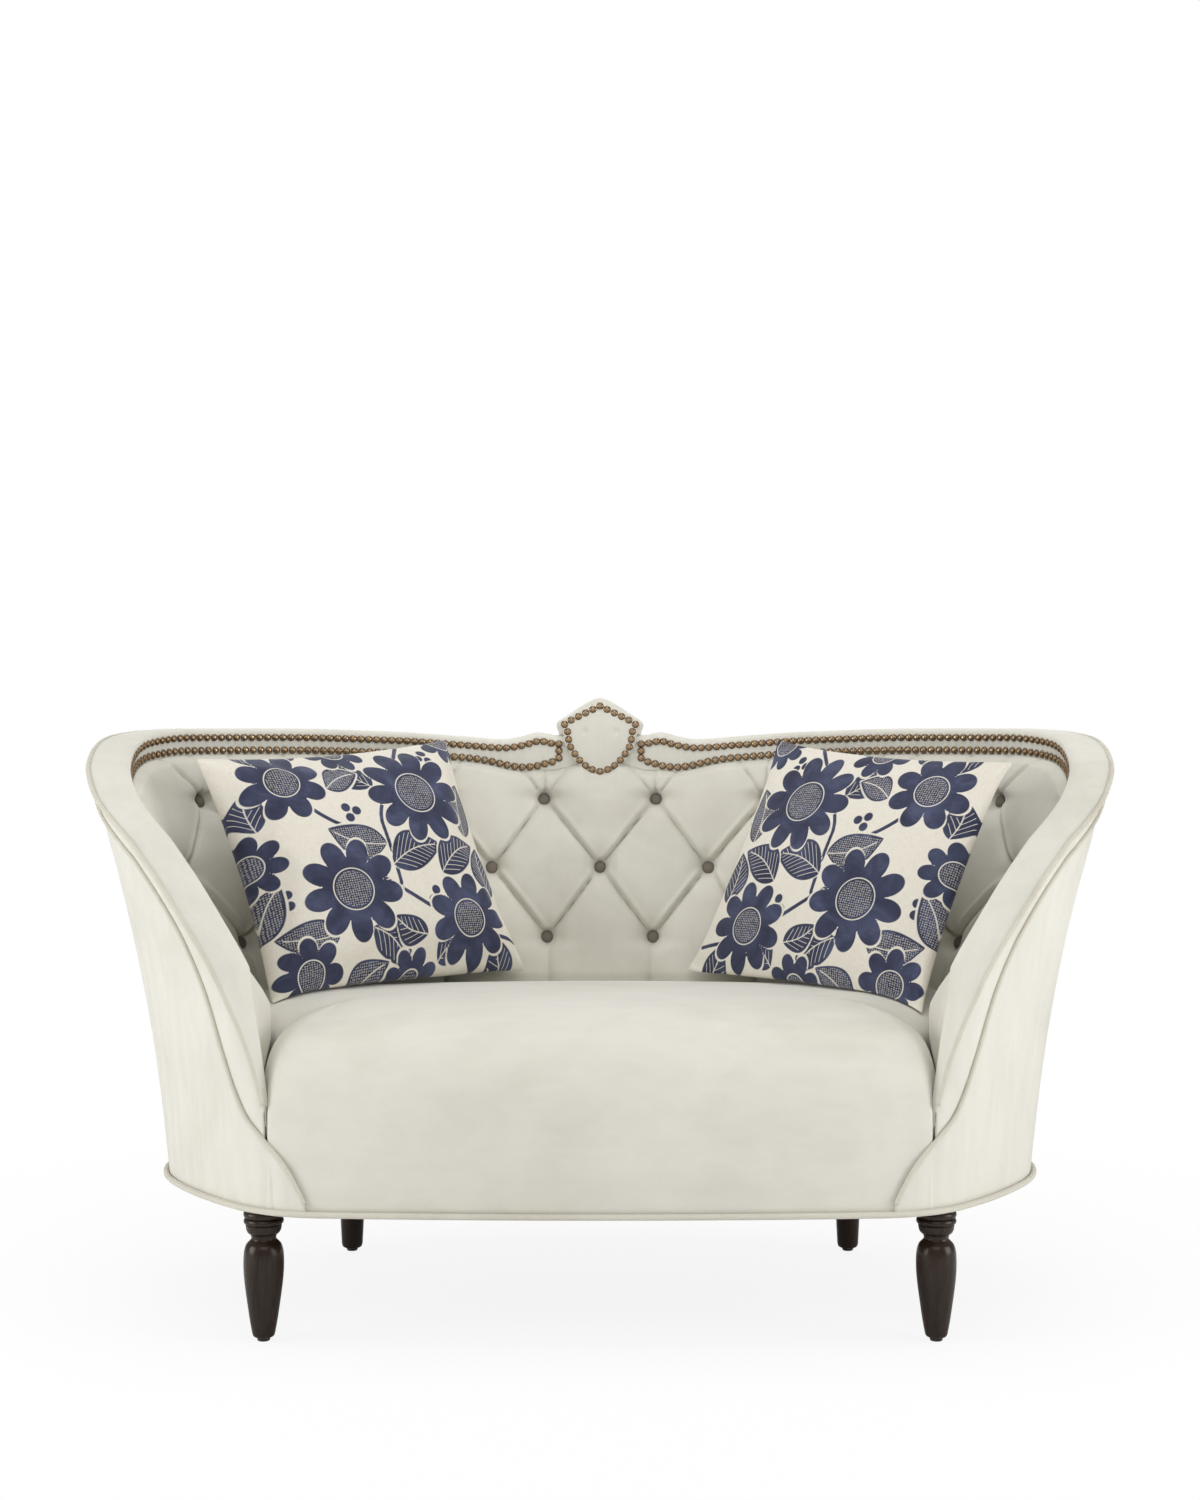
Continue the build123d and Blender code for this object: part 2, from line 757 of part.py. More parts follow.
with BuildPart() as one_button:
    with BuildSketch(Plane.XZ):
        with BuildLine():
            Line((0, -BUTTON_TAIL), (BUTTON_TAIL_DIAMETER / 2, -BUTTON_TAIL))
            Line((BUTTON_TAIL_DIAMETER / 2, -BUTTON_TAIL), (BUTTON_TAIL_DIAMETER / 2, 0.3))
            Line((BUTTON_TAIL_DIAMETER / 2, 0.3), (BUTTON_DIAMETER / 2, 0.3))
            Line((BUTTON_DIAMETER / 2, 0.3), (BUTTON_DIAMETER / 2, 3))
            dome(BUTTON_DIAMETER / 2, 3, BUTTON_HEIGHT)
            Line((0, BUTTON_HEIGHT), (0, -BUTTON_TAIL))
        make_face()
    revolve(axis=Axis.Z)


def foam_back(distance, height):
    room = post_inner(distance, height) - 4
    return min(pad_back(distance, height) + FOAM_DEPTH, room)


def foam_section(distance):
    low = PAD_BOTTOM
    top = min(top_rail_low(distance), pad_top(distance)) - 4
    limit = SEAT_HEIGHT
    points = []
    for height in (low, limit, top):
        points.append((pad_back(distance, height) + 1, height))
    for height, full in ((top, 0), ((limit + top) / 2, 0.5), (limit, 0), (low, 0.3)):
        points.append((foam_back(distance, height) + full, height))
    return section(distance, points)


with BuildPart() as back_foam:
    loft([foam_section(d) for d in PAD_STATIONS if abs(d) < PAD_END - 128], ruled=True)

WEB_GAP = 2.4
WEBS_AT = [-390, -260, -130, 130, 260, 390]
with BuildPart() as back_webbing:
    for at in WEBS_AT:
        high = min(top_rail_low(at), pad_top(at)) - 4
        half = (SEAT_HEIGHT + high) / 2
        lower = foam_back(at, SEAT_HEIGHT) + WEB_GAP
        middle = foam_back(at, half) + WEB_GAP
        upper = foam_back(at, high) + WEB_GAP
        with BuildSketch(station(at)):
            with BuildLine():
                Polyline(
                    (lower, PAD_BOTTOM),
                    (lower + 2, PAD_BOTTOM),
                    (lower + 2, SEAT_HEIGHT),
                    (middle + 2, half),
                    (upper + 2, high),
                    (upper, high),
                    (middle, half),
                    (lower, SEAT_HEIGHT),
                    close=True,
                )
            make_face()
        extrude(amount=25, both=True)


# Seat: outline from the inside faces and the front of the base, lofted up to its crown.
def seat_outline(height, front, side, bulge=1):
    edge = SEAT_GAP + side
    marks = [spot(d, seat_reach(d) - edge)[:2] for d in spread(0, SEAT_ARM_END, SEAT_ARM_END / 12)]
    facing = []
    for at, drawn in ((578.6, 1), (552.6, 0.85), (502.6, 0.6)):
        d = HALF_LENGTH - at
        wall = seat_reach(d) if d < FACING_START else rim_inner(d) - 2
        facing.append(spot(d, wall - SEAT_GAP - side * drawn - front * 0.5 * (d - SEAT_ARM_END) / 118)[:2])
    behind_panel = -PANEL_CLOTH - 3
    corner = []
    for at, drawn in ((478.6, 0.45), (452.6, 0.3), (423.6, 0.15)):
        d = HALF_LENGTH - at
        corner.append(spot(d, behind_panel - side * drawn - front * (0.75 + 0.25 * (502.6 - at) / 108))[:2])
    start = spot(HALF_LENGTH - 395, behind_panel - front)[:2]
    middle = (0, FRONT_Y - behind_panel - bulge * (SEAT_BULGE - behind_panel) + front)

    def flip(point):
        return (-point[0], point[1])

    with BuildSketch(Plane.XY.offset(height)) as face:
        with BuildLine():
            for i in range(0, 12, 2):
                ThreePointArc(*marks[i : i + 3])
                ThreePointArc(*[flip(mark) for mark in marks[i : i + 3]])
            Polyline(marks[-1], *facing)
            ThreePointArc(facing[-1], corner[0], corner[1])
            ThreePointArc(corner[1], corner[2], start)
            ThreePointArc(start, middle, flip(start))
            ThreePointArc(flip(start), flip(corner[2]), flip(corner[1]))
            ThreePointArc(flip(corner[1]), flip(corner[0]), flip(facing[-1]))
            Polyline(*[flip(mark) for mark in reversed(facing)], flip(marks[-1]))
        make_face()
    return face.sketch


def rounding(drop, fall, run, fullness=2.6):
    """Inset of a soft edge at a drop below the crown, none where the drop reaches its fall."""
    up = min(max((fall - drop) / fall, 0), 1)
    return run * (1 - (1 - up**fullness) ** (1.04 / fullness))


def seat_loft(low, inset):
    faces = [seat_outline(low, inset, inset, 0)]
    faces.append(seat_outline(BASE_HEIGHT + BASE_PIPING + 3, inset, inset, 0))
    faces.append(seat_outline(BASE_HEIGHT + 0.4 * RAIL_HEIGHT, inset, inset, 0.7))
    for part in (1, 0.8, 0.6, 0.43, 0.29, 0.18, 0.1, 0.04, 0.01, 0):
        drop = SEAT_FALL * part
        front = rounding(drop, SEAT_FALL, SEAT_FRONT_RUN)
        side = rounding(drop, SEAT_SIDE_FALL, SEAT_SIDE_RUN)
        faces.append(seat_outline(SEAT_HEIGHT - drop - inset, front + inset, side + inset))
    return faces


with BuildPart() as seat_cover:
    loft(seat_loft(BASE_HEIGHT, 0), ruled=True)
    loft(seat_loft(BASE_HEIGHT - 5, CLOTH), ruled=True, mode=Mode.SUBTRACT)
    with Locations((0, FRONT_Y + 36, BASE_HEIGHT)):
        Box(
            4 * PILLOW_X,
            2 * BASE_DEPTH,
            2 * (PAD_BOTTOM - 12 - BASE_HEIGHT),
            align=(Align.CENTER, Align.MIN, Align.CENTER),
            mode=Mode.SUBTRACT,
        )

SPRING_HEIGHT = RAIL_TOP + CLIP_SHEET + 0.6 + SPRING_WIRE / 2
DECK_LOW = SPRING_HEIGHT + SPRING_WIRE / 2 + 0.3
FOAM_LOW = DECK_LOW + DECK_THICKNESS + GAP

with BuildPart() as seat_foam:
    loft(seat_loft(BASE_HEIGHT, CLOTH + 6 * GAP), ruled=True)
    with Locations((0, 0, FOAM_LOW)):
        Box(
            4 * PILLOW_X,
            2 * BASE_DEPTH,
            2 * SEAT_HEIGHT,
            align=(Align.CENTER, Align.CENTER, Align.MAX),
            mode=Mode.SUBTRACT,
        )

with BuildPart() as seat_deck:
    extrude(plan_face(BOARD + FRONT_RAIL_INSET + 14, DECK_LOW), amount=DECK_THICKNESS)

with BuildPart() as front_rail_pad:
    loft([seat_outline(h, CLOTH + GAP, CLOTH + GAP, 0) for h in (BASE_HEIGHT + 3, RAIL_TOP)], ruled=True)
    extrude(plan_face(FRONT_RAIL_INSET - GAP, BASE_HEIGHT), amount=2 * RAIL_HEIGHT, mode=Mode.SUBTRACT)
    with Locations((0, FRONT_Y - 40, RAIL_TOP)):
        Box(
            2 * 392,
            120,
            4 * RAIL_HEIGHT,
            align=(Align.CENTER, Align.MIN, Align.CENTER),
            mode=Mode.INTERSECT,
        )


def base_y(x, rear):
    """Front or rear edge of the base at a given x."""
    low, high = (0, REAR_LEG_AT + 60) if rear else (RAIL_JOINT_FRONT, HALF_LENGTH)
    for _ in range(40):
        half = (low + high) / 2
        if (plan(half)[0] < x) == rear:
            low = half
        else:
            high = half
    return plan(low)[1]


def spring_ends(x):
    return base_y(x, False) + FRONT_RAIL_INSET + 12, base_y(x, True) - RAIL_INSET - 14


def spring_path(x):
    """Bars across the seat joined by half turns."""
    front, rear = spring_ends(abs(x))
    pitch = (rear - front) / SPRING_TURNS
    side = 1
    with BuildLine(Plane.XY.offset(SPRING_HEIGHT)) as line:
        for turn in range(SPRING_TURNS + 1):
            y = front + turn * pitch
            Line((x - side * SPRING_BAR / 2, y), (x + side * SPRING_BAR / 2, y))
            if turn < SPRING_TURNS:
                tip = x + side * (SPRING_BAR / 2 + pitch / 2)
                ThreePointArc(
                    (x + side * SPRING_BAR / 2, y),
                    (tip, y + pitch / 2),
                    (x + side * SPRING_BAR / 2, y + pitch),
                )
            side = -side
    return line.wires()[0]


springs = []
for at in SPRING_AT:
    for x in {at, -at}:
        path = spring_path(x)
        with BuildPart() as one_spring:
            with BuildSketch(Plane(origin=path @ 0, z_dir=path % 0)):
                Circle(SPRING_WIRE / 2)
            sweep(path=path)
        springs.append(one_spring.part.solid())

CLIP_SPOTS = [(x, spring_ends(abs(x))[rear], rear) for at in SPRING_AT for x in {at, -at} for rear in (0, 1)]
with BuildPart() as spring_clips:
    for x, y, rear in CLIP_SPOTS:
        out = 1 if rear else -1
        top = RAIL_TOP + CLIP_SHEET + SPRING_WIRE + 2.2
        with BuildSketch(Plane(origin=(x, y, 0), x_dir=(0, out, 0), z_dir=(out, 0, 0))):
            with BuildLine():
                Polyline(
                    (-6, RAIL_TOP),
                    (7, RAIL_TOP),
                    (7, top),
                    (-4, top),
                    (-4, top - CLIP_SHEET + 0.6),
                    (5, top - CLIP_SHEET + 0.6),
                    (5, RAIL_TOP + CLIP_SHEET),
                    (-6, RAIL_TOP + CLIP_SHEET),
                    close=True,
                )
            make_face()
        extrude(amount=CLIP_WIDTH / 2, both=True)


# Crest: wooden core in a padded cover, with the shield in front.
REAR_Y = plan(0)[1]
BAND_Y = REAR_Y + rim_inner(0)
RIM_BACK_Y = REAR_Y + rim_outer(0)
CREST_LOW = rim(75) + RIM_CROWN + 0.6


def crest_face(inset, low):
    """Gable outline of the crest, drawn in by an inset."""
    half = CREST_HALF_WIDTH - inset
    apex = CREST_HEIGHT - inset
    shoulder = max(CREST_HEIGHT - 46 - inset, low + 13)
    with BuildSketch(Plane(origin=(0, 0, 0), x_dir=(1, 0, 0), z_dir=(0, -1, 0))) as face:
        with BuildLine():
            Line((-half + 4, low), (half - 4, low))
            Line((half - 4, low), (half, shoulder - 12))
            ThreePointArc((half, shoulder - 12), (half - 3, shoulder - 2), (half - 11, shoulder + 4))
            Line((half - 11, shoulder + 4), (14, apex - 3.5))
            ThreePointArc((14, apex - 3.5), (0, apex), (-14, apex - 3.5))
            Line((-14, apex - 3.5), (-half + 11, shoulder + 4))
            ThreePointArc((-half + 11, shoulder + 4), (-half + 3, shoulder - 2), (-half, shoulder - 12))
            Line((-half, shoulder - 12), (-half + 4, low))
        make_face()
    return face.sketch


CREST_FRONT = BAND_Y + 2
CREST_BACK = RIM_BACK_Y - 2
with BuildPart() as crest_cover:
    with Locations((0, CREST_BACK, 0)):
        add(extrude(crest_face(0, CREST_LOW), amount=CREST_BACK - CREST_FRONT, mode=Mode.PRIVATE))
    with Locations((0, CREST_BACK - CLOTH, 0)):
        add(
            extrude(
                crest_face(CLOTH, CREST_LOW - 1),
                amount=CREST_BACK - CREST_FRONT - 2 * CLOTH,
                mode=Mode.PRIVATE,
            ),
            mode=Mode.SUBTRACT,
        )

with BuildPart() as crest_core:
    with Locations((0, CREST_BACK - CLOTH - 2 * GAP, 0)):
        add(
            extrude(
                crest_face(CLOTH + 2.5, CREST_LOW + 2 * GAP),
                amount=CREST_BACK - CREST_FRONT - 2 * CLOTH - 4 * GAP,
                mode=Mode.PRIVATE,
            )
        )

SHIELD_BACK = BAND_Y - 1.65


def shield_half(inset):
    """Right half of the shield's outline, from the apex down to the tip."""
    half = CREST_HALF_WIDTH - 4 - inset
    return [
        (0, CREST_HEIGHT - 4 - inset * 1.1),
        (half - 6, CREST_HEIGHT - 34 - inset * 0.9),
        (half, CREST_HEIGHT - 44 - inset * 0.3),
        (half - 7, CREST_HEIGHT - 62),
        (half - 8, CREST_HEIGHT - 82),
        (half - 26 + inset * 0.3, SHIELD_BOTTOM + 28 + inset * 0.5),
        (20, SHIELD_BOTTOM + 5 + inset),
        (0, SHIELD_BOTTOM + inset),
    ]


with BuildPart() as crest_shield:
    with BuildSketch(Plane(origin=(0, SHIELD_BACK, 0), x_dir=(1, 0, 0), z_dir=(0, -1, 0))):
        with BuildLine():
            right = shield_half(0)
            Polyline(*right, *[(-x, z) for x, z in reversed(right[1:-1])], close=True)
        make_face()
    extrude(amount=SHIELD_THICKNESS)
    fillet(crest_shield.faces().sort_by(Axis.Y)[0].edges(), radius=2.5)


# Nails: two rows round the inside of the rim and the outline of the shield.
def nail(shank):
    """Domed nail with its head on the plane and its shank below."""
    with BuildPart() as one:
        with BuildSketch(Plane.XZ):
            with BuildLine():
                Line((0, -shank), (NAIL_SHANK / 2, -shank + 2))
                Line((NAIL_SHANK / 2, -shank + 2), (NAIL_SHANK / 2, GAP / 2))
                Line((NAIL_SHANK / 2, GAP / 2), (NAIL_DIAMETER / 2, GAP / 2))
                dome(NAIL_DIAMETER / 2, GAP / 2, NAIL_HEIGHT)
                Line((0, NAIL_HEIGHT), (0, -shank))
            make_face()
        revolve(axis=Axis.Z)
    return one.part.solid()


def row_spot(distance, drop):
    """Point on the nail band, on the straight run between two of its stations."""
    marks = stations_to(NAIL_BAND_END)
    last = max(d for d in marks if d <= distance)
    following = min(d for d in marks if d > distance)
    t = (distance - last) / (following - last)
    ends = [Vector(*spot(d, rim_inner(d), rim(d))) for d in (last, following)]
    return ends[0] * (1 - t) + ends[1] * t - Vector(0, 0, drop(distance))


def nail_row(drop):
    """Nails at an even pitch along the band on both sides of the crest."""
    at = NAIL_ROW_START
    last = None
    planes = []
    while at < NAIL_ROW_END:
        here = row_spot(at, drop)
        if last is None or (here - last).length >= NAIL_PITCH:
            for side in (1, -1):
                nx, ny = outward(side * at)
                planes.append(Plane(origin=row_spot(side * at, drop), z_dir=(-nx, -ny, 0)))
            last = here
        at += 0.2
    return planes


def upper_drop(distance):
    return UPPER_ROW_DROP * steep(distance)


def lower_drop(distance):
    """The lower row follows the edge of the band and curls up beside the crest."""
    if abs(distance) < NAIL_BAND_DIP_AT:
        return between(LOWER_ROW_CURL, abs(distance))
    return band_height(distance) - LOWER_ROW_EDGE


def curl_nails():
    """The nail on each side that joins the two rows beside the crest."""
    middle = LOWER_ROW_CURL[0][1] - NAIL_PITCH + 0.9
    planes = []
    for at in (NAIL_ROW_START, -NAIL_ROW_START):
        nx, ny = outward(at)
        planes.append(Plane(origin=row_spot(at, lambda distance: middle), z_dir=(-nx, -ny, 0)))
    return planes


def group(piece, planes):
    return Compound(children=[piece.moved(Location(plane)) for plane in planes])


def shield_nails():
    """Nails at an even pitch along the shield, clear of one another."""
    right = shield_half(9)
    outline = right + [(-x, z) for x, z in reversed(right[1:-1])] + [right[0]]
    lengths = [0]
    for (x0, z0), (x1, z1) in zip(outline, outline[1:]):
        lengths.append(lengths[-1] + math.hypot(x1 - x0, z1 - z0))
    count = 2 * int(lengths[-1] / (NAIL_DIAMETER + 0.3) / 2)
    while True:
        spots = []
        for i in range(count):
            along = i * lengths[-1] / count
            leg = max(k for k in range(len(lengths) - 1) if lengths[k] <= along)
            t = (along - lengths[leg]) / (lengths[leg + 1] - lengths[leg])
            x = outline[leg][0] + t * (outline[leg + 1][0] - outline[leg][0])
            z = outline[leg][1] + t * (outline[leg + 1][1] - outline[leg][1])
            spots.append((x, z))
        if min(math.dist(spots[i], spots[i - 1]) for i in range(count)) > NAIL_DIAMETER + GAP:
            break
        count -= 2
    front = SHIELD_BACK - SHIELD_THICKNESS
    return [Plane(origin=(x, front, z), z_dir=(0, -1, 0)) for x, z in spots]


# Legs, glides and the bolts that hold the legs.
with BuildPart() as turned_leg:
    with BuildSketch(Plane.XZ):
        with BuildLine():
            Polyline((0, GLIDE_HEIGHT), (11.5, GLIDE_HEIGHT), (16.6, GLIDE_HEIGHT + 7))
            ThreePointArc((16.6, GLIDE_HEIGHT + 7), (23.2, BASE_HEIGHT - 137), (28.6, BASE_HEIGHT - 93))
            ThreePointArc((28.6, BASE_HEIGHT - 93), (29.3, BASE_HEIGHT - 74), (26.6, BASE_HEIGHT - 51))
            ThreePointArc((26.6, BASE_HEIGHT - 51), (23.2, BASE_HEIGHT - 45.8), (18.8, BASE_HEIGHT - 43))
            ThreePointArc((18.8, BASE_HEIGHT - 43), (18, BASE_HEIGHT - 39), (18.8, BASE_HEIGHT - 35))
            ThreePointArc((18.8, BASE_HEIGHT - 35), (24, BASE_HEIGHT - 30.5), (26, BASE_HEIGHT - 21))
            Line((26, BASE_HEIGHT - 21), (26, BASE_HEIGHT - 19))
            ThreePointArc((26, BASE_HEIGHT - 19), (29.2, BASE_HEIGHT - 14.8), (26.6, BASE_HEIGHT - 10.8))
            ThreePointArc((26.6, BASE_HEIGHT - 10.8), (29.4, BASE_HEIGHT - 5.6), (26.6, BASE_HEIGHT))
            Polyline((26.6, BASE_HEIGHT), (0, BASE_HEIGHT), (0, GLIDE_HEIGHT))
        make_face()
    revolve(axis=Axis.Z)
    with Locations((0, 0, BASE_HEIGHT - BOLT_IN_LEG)):
        Cylinder(BOLT_DIAMETER / 2 + 0.1, 100, align=(Align.CENTER, Align.CENTER, Align.MIN), mode=Mode.SUBTRACT)
    with Locations((0, 0, 0)):
        Cylinder(1.7, 19, align=(Align.CENTER, Align.CENTER, Align.MIN), mode=Mode.SUBTRACT)

with BuildPart() as tapered_leg:
    with BuildSketch(Plane.XZ):
        with BuildLine():
            Polyline(
                (0, GLIDE_HEIGHT),
                (12.5, GLIDE_HEIGHT),
                (17.8, GLIDE_HEIGHT + 7),
                (26.5, BASE_HEIGHT),
                (0, BASE_HEIGHT),
                close=True,
            )
        make_face()
    revolve(axis=Axis.Z)
    with Locations((0, 0, BASE_HEIGHT - BOLT_IN_LEG)):
        Cylinder(BOLT_DIAMETER / 2 + 0.1, 100, align=(Align.CENTER, Align.CENTER, Align.MIN), mode=Mode.SUBTRACT)
    with Locations((0, 0, 0)):
        Cylinder(1.7, 19, align=(Align.CENTER, Align.CENTER, Align.MIN), mode=Mode.SUBTRACT)

with BuildPart() as one_glide:
    with BuildSketch(Plane.XZ):
        with BuildLine():
            Polyline(
                (0, 0),
                (GLIDE_DIAMETER / 2 - 1.2, 0),
                (GLIDE_DIAMETER / 2, 1.2),
                (GLIDE_DIAMETER / 2, GLIDE_HEIGHT),
                (1.6, GLIDE_HEIGHT),
                (1.6, 17),
                (0, 19),
                close=True,
            )
        make_face()
    revolve(axis=Axis.Z)

with BuildPart() as leg_bolts:
    with Locations(*[(x, y, BASE_HEIGHT - BOLT_IN_LEG + 0.5) for x, y, z in LEGS]):
        Cylinder(
            BOLT_DIAMETER / 2,
            BOLT_IN_LEG + BOLT_IN_BLOCK - 1,
            align=(Align.CENTER, Align.CENTER, Align.MIN),
        )

with BuildPart() as leg_nuts:
    with Locations(*[(x, y, BASE_HEIGHT + BLOCK_HEIGHT) for x, y, z in REAR_LEGS]):
        Cylinder(NUT_DIAMETER / 2, NUT_HEIGHT, align=(Align.CENTER, Align.CENTER, Align.MIN))
        Cylinder(BOLT_DIAMETER / 2 + 0.1, 4 * NUT_HEIGHT, mode=Mode.SUBTRACT)


# Throw pillows: a sewn cover round an insert, leaning in the corners of the back.
def pillow_side(half, bow, depth):
    """Outline of the pillow at a depth from its seam, with its sides drawn in."""
    with BuildSketch(Plane.XY.offset(depth)) as face:
        with BuildLine():
            ThreePointArc((-half, -half), (0, -half + bow), (half, -half))
            ThreePointArc((half, -half), (half - bow, 0), (half, half))
            ThreePointArc((half, half), (0, half - bow), (-half, half))
            ThreePointArc((-half, half), (-half + bow, 0), (-half, -half))
        make_face()
    return face.sketch


def pillow_loft(inset, sign):
    half = PILLOW_WIDTH / 2 - inset
    deep = PILLOW_DEPTH / 2 - inset
    return [
        pillow_side(half, 15, 0),
        pillow_side(half * 0.93, 13, sign * deep * 0.3),
        pillow_side(half * 0.76, 6, sign * deep * 0.68),
        pillow_side(half * 0.48, -6, sign * deep * 0.93),
        pillow_side(half * 0.2, -6, sign * deep),
    ]


with BuildPart() as pillow_insert:
    loft(pillow_loft(PILLOW_CLOTH + GAP, 1))
    loft(pillow_loft(PILLOW_CLOTH + GAP, -1))

with BuildPart() as pillow_cover:
    loft(pillow_loft(0, 1))
    loft(pillow_loft(0, -1))
    loft(pillow_loft(PILLOW_CLOTH, 1), mode=Mode.SUBTRACT)
    loft(pillow_loft(PILLOW_CLOTH, -1), mode=Mode.SUBTRACT)


def pillow_place(side):
    """The pillow stands on its lower edge, turned into its corner and leaning back."""
    yaw = math.radians(PILLOW_YAW)
    lean = math.radians(PILLOW_LEAN)
    front = (side * -math.sin(yaw) * math.cos(lean), -math.cos(yaw) * math.cos(lean), math.sin(lean))
    along = (math.cos(yaw), side * -math.sin(yaw), 0)
    height = SEAT_HEIGHT + PILLOW_WIDTH / 2 * math.cos(lean)
    return Plane(origin=(side * PILLOW_X, PILLOW_Y, height), x_dir=along, z_dir=front)


def settled(piece, side):
    """Let the pillow down until it rests just clear of the seat."""
    placed = piece.moved(Location(pillow_place(side)))
    drop = placed.distance_to(seat_cover.part) - 0.5
    while drop > 0.2:
        placed = placed.moved(Location((0, 0, -drop)))
        drop = placed.distance_to(seat_cover.part) - 0.5
    return placed


os.makedirs("parts", exist_ok=True)

PIECES = {
    "front_rail": front_rail.part,
    "rear_rail": rear_rail.part,
    "side_rail_left": side_rail_left.part,
    "side_rail_right": side_rail_right.part,
    "corner_blocks": corner_blocks.part,
    "block_screws": block_screws.part,
    "back_post_centre": back_post_centre.part,
    "back_post_left": back_post_left.part,
    "back_post_right": back_post_right.part,
    "side_post_left": side_post_left.part,
    "side_post_right": side_post_right.part,
    "arm_post_left": arm_post_left.part,
    "arm_post_right": arm_post_right.part,
    "tack_rail": tack_rail.part,
    "top_rail": top_rail.part,
    "crest_core": crest_core.part,
    "crest_cover": crest_cover.part,
    "crest_shield": crest_shield.part,
    "seat_springs": Compound(children=springs),
    "spring_clips": spring_clips.part,
    "seat_deck": seat_deck.part,
    "seat_foam": seat_foam.part,
    "front_rail_pad": front_rail_pad.part,
    "seat_cover": seat_cover.part,
    "back_webbing": back_webbing.part,
    "back_foam": back_foam.part,
    "inside_back": inside_back.part,
    "tuft_buttons": group(one_button.part.solid(), BUTTONS),
    "nail_band": nail_band.part,
    "arm_facing_left": arm_facing_left.part,
    "arm_facing_right": arm_facing_right.part,
    "rim_band": rim_band.part,
    "boxing_strip": boxing_strip.part,
    "outside_back": outside_back.part,
    "outside_arm_left": outside_arm_left.part,
    "outside_arm_right": outside_arm_right.part,
    "rim_piping": rim_piping.part,
    "panel_piping": panel_piping.part,
    "base_piping": base_piping.part,
    "upper_nails": group(nail(NAIL_SHANK_LENGTH), nail_row(upper_drop)),
    "lower_nails": group(nail(NAIL_SHANK_LENGTH), nail_row(lower_drop) + curl_nails()),
    "crest_nails": group(nail(SHIELD_THICKNESS - 1), shield_nails()),
    "dust_cover": dust_cover.part,
    "front_leg_right": turned_leg.part.moved(Location((FRONT_LEGS[0][0], FRONT_LEGS[0][1], 0))),
    "front_leg_left": turned_leg.part.moved(Location((FRONT_LEGS[1][0], FRONT_LEGS[1][1], 0))),
    "rear_leg_right": tapered_leg.part.moved(Location((REAR_LEGS[0][0], REAR_LEGS[0][1], 0))),
    "rear_leg_left": tapered_leg.part.moved(Location((REAR_LEGS[1][0], REAR_LEGS[1][1], 0))),
    "glides": group(one_glide.part.solid(), [Plane(origin=(x, y, 0)) for x, y, z in LEGS]),
    "leg_bolts": leg_bolts.part,
    "leg_nuts": leg_nuts.part,
}
for side, word in ((-1, "left"), (1, "right")):
    cover = settled(pillow_cover.part, side)
    PIECES["pillow_cover_" + word] = cover
    PIECES["pillow_insert_" + word] = pillow_insert.part.moved(cover.location)

for name, piece in PIECES.items():
    piece.label = name
    export_step(piece, "parts/" + name + ".step")
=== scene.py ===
"""Looks of the tufted tub settee: velvet cover, nails, buttons, legs and throw pillows.

Metres. X runs along the width, -Y is the front, +Z is up and the floor is Z = 0.
A place on the cover is a distance along the base line from the middle of the back, negative on
the left, an outward reach from that line and a height.
"""

import math

import bmesh
import bpy
import numpy as np
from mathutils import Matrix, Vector
from mathutils.bvhtree import BVHTree


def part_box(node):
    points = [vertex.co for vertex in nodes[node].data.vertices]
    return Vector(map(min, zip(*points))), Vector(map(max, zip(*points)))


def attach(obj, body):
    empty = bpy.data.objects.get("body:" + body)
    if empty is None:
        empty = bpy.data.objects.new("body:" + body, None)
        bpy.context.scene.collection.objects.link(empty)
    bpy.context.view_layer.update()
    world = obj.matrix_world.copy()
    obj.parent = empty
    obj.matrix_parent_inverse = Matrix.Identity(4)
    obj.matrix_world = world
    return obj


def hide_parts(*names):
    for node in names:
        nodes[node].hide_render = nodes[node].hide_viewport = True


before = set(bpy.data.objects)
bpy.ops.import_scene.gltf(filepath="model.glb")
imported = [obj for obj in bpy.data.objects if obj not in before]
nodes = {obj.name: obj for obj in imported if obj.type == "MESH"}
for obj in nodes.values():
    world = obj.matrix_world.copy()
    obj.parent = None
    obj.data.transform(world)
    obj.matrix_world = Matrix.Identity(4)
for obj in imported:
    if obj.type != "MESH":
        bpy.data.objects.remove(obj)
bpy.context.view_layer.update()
BODY = "settee"

# Plan of the base: radius and end angle of each tangent arc from the middle of the front.
PLAN_ARCS = [(5.5, 4.2), (0.185, 47), (0.8, 62), (0.33, 100), (0.27, 158)]
BASE_HEIGHT = 0.189
SEAT_HEIGHT = 0.478
FLARE_SLOPE = 0.07
FLARE_GROWTH = 0.21
FLARE_BACK_SHARE = 0.5
RIM_WIDTH = 0.063
RIM_TIP_WIDTH = 0.012
STEEPEST = 3.2
SLOPE_STEP = 0.004
STRIP_WIDTH = 0.025
ARM_THICKNESS = 0.112
BACK_THICKNESS = 0.181
BAND_HEIGHT = 0.042
BAND_DIP = 0.022
BAND_DIP_AT = 0.107
BAND_DIP_SPAN = 0.060
PIPING_RADIUS = 0.0037
WELT_RADIUS = 0.0046
CREST_HEIGHT = 0.949
CREST_HALF_WIDTH = 0.076
SHIELD_BOTTOM = 0.810
SHIELD_EDGE = [(0, 0), (0.018, 0.005), (0.045, 0.028), (0.072, 0.054)]


